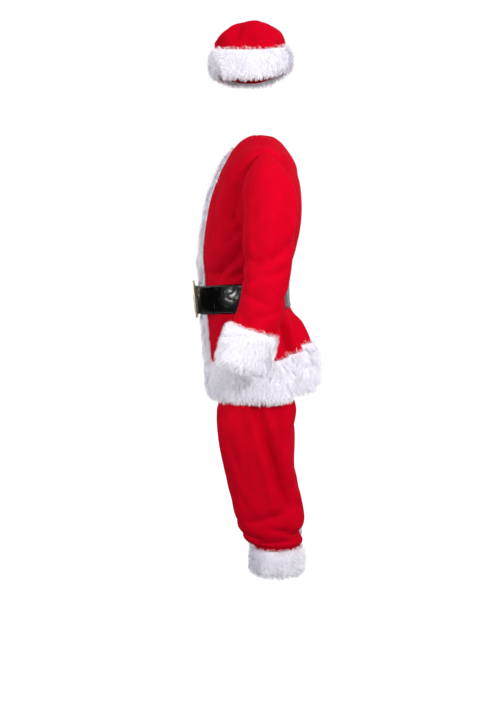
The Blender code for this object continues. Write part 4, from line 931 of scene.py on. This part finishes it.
# Lock stitches of black thread, in a line near each edge.  The thread has less shine than the vinyl.
STITCH_PITCH, STITCH_SHARE, STITCH_INSET = 0.0042, 0.72, 0.0042
STITCH_HALF, STITCH_ARCH = 0.0004, 1.5
black_thread = new_material("black_polyester_thread", {"Base Color": linear("#141316"), "Roughness": 0.6})
stitch_points = []
for way in (1, -1):
    edge_row, next_row = strap_outer[::way][:2]
    inset = np.array([STITCH_INSET / np.linalg.norm(next_row - edge_row, axis=-1).mean()])
    line, raised = (resample(grid[::way], inset)[0] for grid in (strap_outer, strap_out))
    walked = np.concatenate([[0], np.linalg.norm(np.diff(line, axis=0), axis=-1).cumsum()])
    begins = np.arange(STITCH_PITCH, walked[-1] - STITCH_PITCH, STITCH_PITCH)
    stops = begins + STITCH_PITCH * STITCH_SHARE
    a, b, up = (np.stack([np.interp(at, walked, values[:, k]) for k in range(3)], axis=-1)
                for at, values in ((begins, line), (stops, line), (begins, raised)))
    beside = unit(np.cross(b - a, up)) * STITCH_HALF
    middle = (a + b) / 2 + up * STITCH_HALF * STITCH_ARCH
    stitch_points.append(np.stack([
        a - beside, a + beside, middle - beside, middle + beside, b - beside, b + beside], axis=1))
stitch_points = np.concatenate(stitch_points)
first_corner = np.arange(len(stitch_points))[:, None] * 6
stitches = mesh_object("belt_stitching", stitch_points, [
    first_corner + [[0, 1, 3, 2]], first_corner + [[2, 3, 5, 4]]], black_thread)
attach(stitches, "root")

# The buckle is cast and lightly brushed, with a pale gold plating that gives soft broad highlights.
CASTING_GRAIN = 1 / 900
WELD_GAP, EDGE_WIDTH, EDGE_SEGMENTS = 0.00002, 0.0011, 4
pale_brass = new_material("pale_gold_plated_casting", {
    "Base Color": linear("#D8C8A4"), "Metallic": 1.0, "Roughness": 0.30})
brass_grain = add_node(pale_brass, "ShaderNodeTexNoise", {"Scale": 1 / CASTING_GRAIN, "Detail": 2.0})
brass_bump = add_node(pale_brass, "ShaderNodeBump", {"Strength": 0.12, "Distance": 0.0003},
                      {"Height": brass_grain.outputs["Fac"]})
feed(pale_brass, "Principled BSDF", "Normal", brass_bump.outputs["Normal"])
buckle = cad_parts["buckle_frame"]
buckle.data.materials.clear()
buckle.data.materials.append(pale_brass)
welded = buckle.modifiers.new("one_skin", "WELD")
welded.merge_threshold = WELD_GAP
eased = buckle.modifiers.new("eased_edges", "BEVEL")
eased.width = EDGE_WIDTH
eased.segments = EDGE_SEGMENTS
eased.limit_method = "ANGLE"
buckle.data.shade_smooth()

PRONG_THICK, PRONG_SIDES, PRONG_STEPS, PRONG_NOSE = 0.0036, 16, 64, 0.0016
PRONG_PATH = [
    (-0.0050, -0.1688), (-0.0085, -0.1710), (-0.0125, -0.1737), (-0.0190, -0.1752), (-0.0300, -0.1751),
    (-0.0400, -0.1741), (-0.0475, -0.1736), (-0.0515, -0.1728),
]
path = vectors(*through(PRONG_PATH, np.linspace(0, len(PRONG_PATH) - 1, PRONG_STEPS)), BUCKLE_Z)
ahead = unit(np.gradient(path, axis=0))
swing = np.linspace(0, 2 * pi, PRONG_SIDES, endpoint=False)[:, None, None]
from_end = np.linalg.norm(path - path[-1], axis=-1)
prong_radius = PRONG_THICK / 2 * np.sqrt(np.clip(from_end / PRONG_NOSE, 0.02, 1))[:, None]
prong_ring = path + prong_radius * (
    np.cos(swing) * np.cross(ahead, (0, 0, 1)) + np.sin(swing) * np.array([0, 0, 1.0]))
fasten(mesh_object("prong_cast", *closed_skin(prong_ring), pale_brass), "buckle_prong")


# ---- trousers: two legs, a gathered waistband and plush cuffs ---------------------------------------
# The same felt.  Each leg is seamed on the inside and the two are sewn together over the seat.  They hang
# full, bag out above the boot tops, and are gathered at the waist by an elastic band under the jacket.

Leg = namedtuple("Leg", "z middle_x half_x front_y back_y")
LEGS = [
    Leg(0.376, 0.130, 0.061, -0.004, 0.118),
    Leg(0.412, 0.130, 0.061, -0.004, 0.118),
    Leg(0.444, 0.130, 0.063, -0.006, 0.120),
    Leg(0.458, 0.130, 0.076, -0.028, 0.126),
    Leg(0.478, 0.130, 0.080, -0.044, 0.119),
    Leg(0.502, 0.129, 0.083, -0.055, 0.130),
    Leg(0.540, 0.128, 0.084, -0.065, 0.127),
    Leg(0.600, 0.124, 0.085, -0.075, 0.114),
    Leg(0.660, 0.119, 0.087, -0.086, 0.104),
    Leg(0.720, 0.113, 0.090, -0.099, 0.106),
    Leg(0.770, 0.1030, 0.0930, -0.107, 0.109),
    Leg(0.805, 0.0930, 0.0925, -0.108, 0.111),
    Leg(0.850, 0.0880, 0.0875, -0.106, 0.112),
    Leg(0.900, 0.0860, 0.0855, -0.105, 0.112),
    Leg(0.960, 0.0840, 0.0835, -0.107, 0.106),
    Leg(1.020, 0.0805, 0.0800, -0.115, 0.094),
    Leg(1.045, 0.0800, 0.0795, -0.120, 0.088),
]
FORK, SEAT_JOINED, LEG_TOP = 11.0, 13.2, 16.0
LEG_SQUARE, SEAT_SQUARE = 2.1, 2.3
LEG_COLUMNS, WAIST_ROWS = 96, 5
WAIST_LOW, WAIST_HIGH = 3.0, 3.5
LEG_FOLDS = {
    "left": [
        (-0.004, 0.826, 0.084, 0.568, 0.012, 0.026), (0.022, 0.826, 0.106, 0.580, 0.014, -0.017),
        (-0.012, 0.800, 0.046, 0.560, 0.016, -0.010), (0.072, 0.840, 0.070, 0.700, 0.012, 0.009),
        (-0.044, 0.830, -0.022, 0.620, 0.012, 0.004), (0.052, 0.435, 0.108, 0.438, 0.010, 0.009),
        (0.004, 0.462, 0.105, 0.466, 0.010, 0.011), (-0.016, 0.518, 0.078, 0.543, 0.012, 0.010),
        (-0.040, 0.484, 0.004, 0.472, 0.008, 0.009), (0.048, 0.499, 0.078, 0.494, 0.008, 0.010),
        (0.078, 0.490, 0.110, 0.480, 0.008, 0.008), (-0.075, 0.720, -0.030, 0.610, 0.012, 0.006),
        (-0.052, 0.600, -0.020, 0.540, 0.011, 0.003),
    ],
    "right": [
        (0.004, 0.790, 0.052, 0.690, 0.020, 0.009), (0.052, 0.690, 0.082, 0.575, 0.018, 0.008),
        (-0.020, 0.468, 0.088, 0.460, 0.011, 0.008), (0.020, 0.520, 0.104, 0.500, 0.013, 0.007),
    ],
    "front": [
        (0.100, 0.520, 0.165, 0.500, 0.013, 0.008), (0.085, 0.470, 0.150, 0.478, 0.010, 0.007),
        (-0.165, 0.512, -0.095, 0.498, 0.013, 0.008), (-0.160, 0.475, -0.100, 0.466, 0.010, 0.007),
        (0.150, 0.780, 0.128, 0.600, 0.014, -0.005), (-0.146, 0.780, -0.126, 0.590, 0.014, -0.005),
    ],
    "back": [
        (0.085, 0.500, 0.160, 0.482, 0.013, 0.009), (-0.170, 0.492, -0.100, 0.505, 0.013, 0.009),
        (0.060, 0.800, 0.130, 0.735, 0.018, 0.008), (-0.058, 0.798, -0.126, 0.728, 0.018, 0.008),
        (0.090, 0.640, 0.160, 0.610, 0.018, 0.008), (-0.092, 0.630, -0.160, 0.650, 0.018, 0.008),
    ],
}
LEG_DRIFTS, LEG_DIMPLES = Wave((0.05, 0.045, 0.16), 31, 0.0035), Wave((0.022, 0.022, 0.035), 32, 0.0006)
CUFF_GATHERS = Wave((0.013, 0.013, 0.05), 33, 0.0012)
LEG_CUFF_TOP, LEG_CUFF_LIP = 1.6, 0.008
LEG_CUFF_PILE = [Pile(0, 0.017), Pile(1, 0.019), Pile(LEG_CUFF_TOP, 0.016)]
LEG_CUFF_ROUND, LEG_CUFF_DOWN = 0.8, (0, 0, -0.6)
# In rows: where the leg is loose, over how much its waves and folds come in and go out, and where the cuff
# gathers it.
LOOSE_FROM, LOOSE_IN, LOOSE_OUT, SEAT_FADE = 1.8, 1.0, 2.0, 1.5
CUFF_GATHERED_AT, CUFF_GATHERED_REACH = 2.6, 0.9
BAG_LOW, BAG_HIGH = 2, 6
CUFFED_ROWS, BAG_ROWS, THIGH_ROWS = 14, 44, 60


def leg(row, turn, side):
    """Points and outward directions of a leg.  The turn runs from the inner seam at -pi past the front, the
    outer side and the back; above the fork the ring opens into half of the seat."""
    z, middle_x, half_x, front_y, back_y = through(LEGS, row)
    middle_y, half_y = (front_y + back_y) / 2, (back_y - front_y) / 2
    x, y, out_x, out_y = rounded(turn, LEG_SQUARE)
    tube = vectors(middle_x + half_x * x, middle_y + half_y * y, z)
    tube_out = unit(vectors(out_x / half_x, out_y / half_y, 0.0))
    wide, inner_x = middle_x + half_x, middle_x - half_x
    x, y, out_x, out_y = rounded(turn / 2, SEAT_SQUARE)
    seat = vectors(inner_x + wide * x, middle_y + half_y * y, z)
    seat_out = unit(vectors(out_x / wide, out_y / half_y, 0.0))
    joined = ease((row - FORK) / (SEAT_JOINED - FORK))[..., None]
    points, outward = mirrored(side, tube * (1 - joined) + seat * joined,
                               unit(tube_out * (1 - joined) + seat_out * joined))
    shift = fold_shift(points, outward, LEG_FOLDS) * ease((SEAT_JOINED - row) / SEAT_FADE)
    loose = ease((row - LOOSE_FROM) / LOOSE_IN) * ease((LEG_TOP - row) / LOOSE_OUT)
    shift += waves(points, LEG_DRIFTS) * loose
    shift += waves(points, LEG_DIMPLES) * loose
    shift += waves(points, CUFF_GATHERS) * np.exp(-((row - CUFF_GATHERED_AT) / CUFF_GATHERED_REACH) ** 2)
    return points + outward * shift[..., None], outward


# Rows are closest where the leg bags out over its cuff.
leg_row, leg_turn = crossed(
    np.concatenate([
        np.linspace(0, BAG_LOW, CUFFED_ROWS)[:-1], np.linspace(BAG_LOW, BAG_HIGH, BAG_ROWS)[:-1],
        np.linspace(BAG_HIGH, LEG_TOP, THIGH_ROWS)]),
    np.linspace(-pi, pi, LEG_COLUMNS + 1))
leg_cuff_row, leg_cuff_turn = crossed(
    np.linspace(0, LEG_CUFF_TOP, CUFF_ROWS), np.linspace(-pi, pi, CUFF_LENGTH + 1))
leg_cuff_depth = straight(LEG_CUFF_PILE, leg_cuff_row)
gathered_share = np.linspace(0, 1, WAIST_ROWS + 1)[1:, None, None]
waist_edge, waist_edge_out = torso(WAIST_LOW, leg_turn[0] / 2)
waist_x, waist_y, waist_z = np.moveaxis(waist_edge - waist_edge_out * (CLOTH + 4 * LINE), -1, 0)
for name, side in SIDES.items():
    grid = leg(leg_row, leg_turn, side)[0]
    edge = vectors(np.maximum(waist_x, LINE) * side, waist_y, waist_z - 2 * LINE)
    gathered = grid[-1] * (1 - gathered_share) + edge * gathered_share
    sew_panel(f"trouser_leg_{name}", np.concatenate([grid, gathered]))
    foot, foot_out = leg(leg_cuff_row, leg_cuff_turn, side)
    lay = unit(np.gradient(foot, axis=1)) * LEG_CUFF_ROUND + LEG_CUFF_DOWN
    plush(f"leg_cuff_{name}_fur", f"leg_cuff_{name}", foot, foot_out, leg_cuff_depth, LEG_CUFF_LIP, lay,
          closed=True, seed=25)

# Woven elastic in a felt casing, gathered in fine upright pleats.  It is as matt as the felt.
WAIST_LEVELS, WAIST_COLUMNS, PLEATS, PLEAT_DEPTH, CASING = 9, 720, 120, 0.0005, 0.0016
red_elastic = new_material("gathered_elastic_casing", {"Base Color": linear("#A80018"), "Roughness": 0.9})
waist_level, waist_turn = crossed(
    np.linspace(WAIST_LOW, WAIST_HIGH, WAIST_LEVELS), np.linspace(pi / 2, 5 * pi / 2, WAIST_COLUMNS + 1))
waist_points, waist_out = torso(waist_level, waist_turn)
pleat = PLEAT_DEPTH * (1 - np.cos(waist_turn * PLEATS)) / 2
waist_grid = waist_points - waist_out * (CLOTH + LINE + pleat)[..., None]
waistband = fasten(cloth("waistband_casing", waist_grid, red_elastic, groove=False, thick=CASING),
                   "waistband")


# ---- hat -------------------------------------------------------------------------------------------
# A cone of the same felt, sewn up the back and flopped over to the wearer's right.  A deep plush brim is
# sewn round its edge, and a plush pompom to its tip.

Brim = namedtuple("Brim", "front_z side_z back_z half_x front_y back_y")
BRIM = [
    Brim(1.722, 1.708, 1.738, 0.081, -0.112, 0.081),
    Brim(1.752, 1.740, 1.765, 0.082, -0.113, 0.083),
    Brim(1.780, 1.770, 1.786, 0.082, -0.113, 0.082),
]
# Above the brim the crown's rings turn, like the pages of a book, about a hinge at the wearer's right.
Page = namedtuple("Page", "turn start reach middle_y half_y")
HINGE_X, HINGE_Z = -0.092, 1.795
PAGES = [
    Page(0, 0.010, 0.166, -0.0175, 0.0970),
    Page(10, 0.010, 0.166, -0.0170, 0.0965),
    Page(20, 0.010, 0.154, -0.0130, 0.0850),
    Page(32, 0.010, 0.114, -0.0110, 0.0740),
    Page(50, 0.010, 0.076, -0.0105, 0.0640),
    Page(72, 0.010, 0.061, -0.0100, 0.0570),
    Page(96, 0.011, 0.056, -0.0100, 0.0520),
    Page(120, 0.014, 0.051, -0.0080, 0.0430),
    Page(142, 0.021, 0.043, -0.0060, 0.0330),
    Page(162, 0.031, 0.031, -0.0050, 0.0230),
    Page(180, 0.041, 0.016, -0.0040, 0.0095),
]
HAT_COLUMNS, HAT_ROWS = 96, 84
TIP_SHARE, TIP_TUCK = 0.3, 0.002
BRIM_PILE, BRIM_LIP = [Pile(0, 0.017), Pile(0.7, 0.020), Pile(1.4, 0.020), Pile(2, 0.014)], 0.009
BRIM_LENGTH = 190
HAT_FOLDS = {
    "left": [
        (0.006, 1.870, -0.002, 1.796, 0.015, -0.006), (-0.036, 1.866, -0.056, 1.798, 0.013, 0.008),
        (0.044, 1.858, 0.036, 1.796, 0.013, 0.008), (-0.078, 1.832, -0.060, 1.796, 0.012, 0.005),
    ],
    "front": [
        (-0.020, 1.850, -0.060, 1.815, 0.014, 0.007), (0.030, 1.850, 0.010, 1.800, 0.014, 0.006),
    ],
    "back": [
        (-0.010, 1.850, -0.055, 1.815, 0.014, 0.007), (0.040, 1.845, 0.020, 1.800, 0.014, 0.006),
    ],
}
HAT_DRIFTS, HAT_DIMPLES = Wave(0.040, 35, 0.0036), Wave((0.02, 0.02, 0.03), 36, 0.0006)
FREE_EARLY, FREE_RUN = 0.6, 1.5          # in rings: the crown is free of the brim just before its last one
BRIM_ROUND, BRIM_DOWN = -0.5, (0, 0, -0.8)


def brim_face(row, turn):
    """Points and outward directions of the crown under the brim.  The turn is 0 at the left side."""
    front_z, side_z, back_z, half_x, front_y, back_y = through(BRIM, row)
    middle_y, half_y = (front_y + back_y) / 2, (back_y - front_y) / 2
    c, s = np.cos(turn), np.sin(turn)
    end_z = np.where(s > 0, back_z, front_z)
    points = vectors(half_x * c, middle_y + half_y * s, side_z + (end_z - side_z) * s * s)
    return points, unit(vectors(c / half_x, s / half_y, 0.0))


# The crown's rings follow the brim, then the pages, and close at the tip.
hat_turn = np.linspace(pi / 2, 5 * pi / 2, HAT_COLUMNS + 1)
rings = [brim_face(pile.level, hat_turn)[0] for pile in BRIM_PILE]
for page in PAGES:
    away = np.array([np.cos(radians(page.turn)), 0, np.sin(radians(page.turn))])
    middle = np.array([HINGE_X, page.middle_y, HINGE_Z]) + away * (page.start + page.reach / 2)
    rings.append(middle + away * (page.reach / 2) * np.cos(hat_turn)[:, None]
                 + np.array([0, page.half_y, 0]) * np.sin(hat_turn)[:, None])
hat_tip = rings[-1].mean(axis=0)
rings.append(hat_tip + (rings[-1] - hat_tip) * TIP_SHARE - (0, 0, TIP_TUCK))
hat_level = np.linspace(0, len(rings) - 1, HAT_ROWS)
hat_grid = through(np.array(rings).reshape(len(rings), -1), hat_level).T.reshape(HAT_ROWS, HAT_COLUMNS + 1, 3)
hat_out = outward_of(hat_grid)
free = ease((hat_level - len(BRIM_PILE) + FREE_EARLY) / FREE_RUN)[:, None]
hat_shift = fold_shift(hat_grid, hat_out, HAT_FOLDS) + waves(hat_grid, HAT_DRIFTS)
hat_shift += waves(hat_grid, HAT_DIMPLES)
hat_move = (hat_shift * free)[..., None] * hat_out
hat_move[:, -1] = hat_move[:, 0]
sew_panel("hat_crown", hat_grid + hat_move)

brim_row, brim_turn = crossed(np.linspace(0, 2, CUFF_ROWS), np.linspace(pi / 2, 5 * pi / 2, BRIM_LENGTH))
brim_foot, brim_out = brim_face(brim_row, brim_turn)
plush("hat_brim_fur", "hat_brim", brim_foot, brim_out, straight(BRIM_PILE, brim_row), BRIM_LIP,
      unit(np.gradient(brim_foot, axis=1)) * BRIM_ROUND + BRIM_DOWN, closed=True, seed=27)

# The pompom hangs from the cone's tip: a ball of the same fur.
POMPOM_RADIUS, LOCK_LENGTH, TIP_DIP, BALL = 0.021, 0.011, 0.0018, 0.020
BALL_COAT = Coat(0.019, 0.0007, 0.0015, 18, 0.0050, 2.0)
BALL_COLUMNS, BALL_ROWS = 37, 19
around, up = np.meshgrid(np.linspace(0, 2 * pi, BALL_COLUMNS), np.linspace(-pi / 2, pi / 2, BALL_ROWS)[1:-1])
ball_out = vectors(np.cos(around) * np.cos(up), np.sin(around) * np.cos(up), np.sin(up))
ball = hat_tip - (0, 0, POMPOM_RADIUS + LOCK_LENGTH - TIP_DIP) + ball_out * BALL
ball_lay, ball_short = np.full_like(ball, (0, 0, -1.0)), np.ones(ball.shape[:2])
fur_piece("pompom_fur", "pompom", closed_skin(np.moveaxis(ball[:, :-1], 0, 1)),
          hairs(np.random.default_rng(28), ball, BALL_COAT, ball_lay, ball_short))


# ---- declarations ----------------------------------------------------------------------------------
# Each panel's cut, measured along its own curved rows and columns, and how the panel is held.  The plush
# goes with the panel that it is sewn to.


def cut_of(piece):
    """A panel's flat width, length and area, from its outer face."""
    flat = np.zeros(len(piece.data.loops) * 2, np.float32)
    piece.data.uv_layers["flat_cloth"].data.foreach_get("uv", flat)
    area = sum(face.area for face in piece.data.polygons) / 2
    wide, long = np.ptp(flat.reshape(-1, 2), axis=0)
    return float(wide), float(long), min(area, wide * long)


for piece, held, rests_on, trims in (
    (felt_panels["jacket_front_left"], "hung", ["jacket_back"], ["front_band_fur"]),
    (felt_panels["jacket_front_right"], "hung", ["jacket_back"], []),
    (felt_panels["jacket_back"], "hung", ["jacket_front_left"], ["hem_fur"]),
    (felt_panels["sleeve_left"], "hung", ["jacket_back"], ["sleeve_cuff_left_fur"]),
    (felt_panels["sleeve_right"], "hung", ["jacket_back"], ["sleeve_cuff_right_fur"]),
    (felt_panels["trouser_leg_left"], "hung", ["waistband"], ["leg_cuff_left_fur"]),
    (felt_panels["trouser_leg_right"], "hung", ["waistband"], ["leg_cuff_right_fur"]),
    (waistband, "gathered", ["trouser_leg_left"], []),
    (felt_panels["hat_crown"], "draped", ["hat_brim"], ["hat_brim_fur", "pompom_fur"]),
):
    wide, long, area = cut_of(piece)
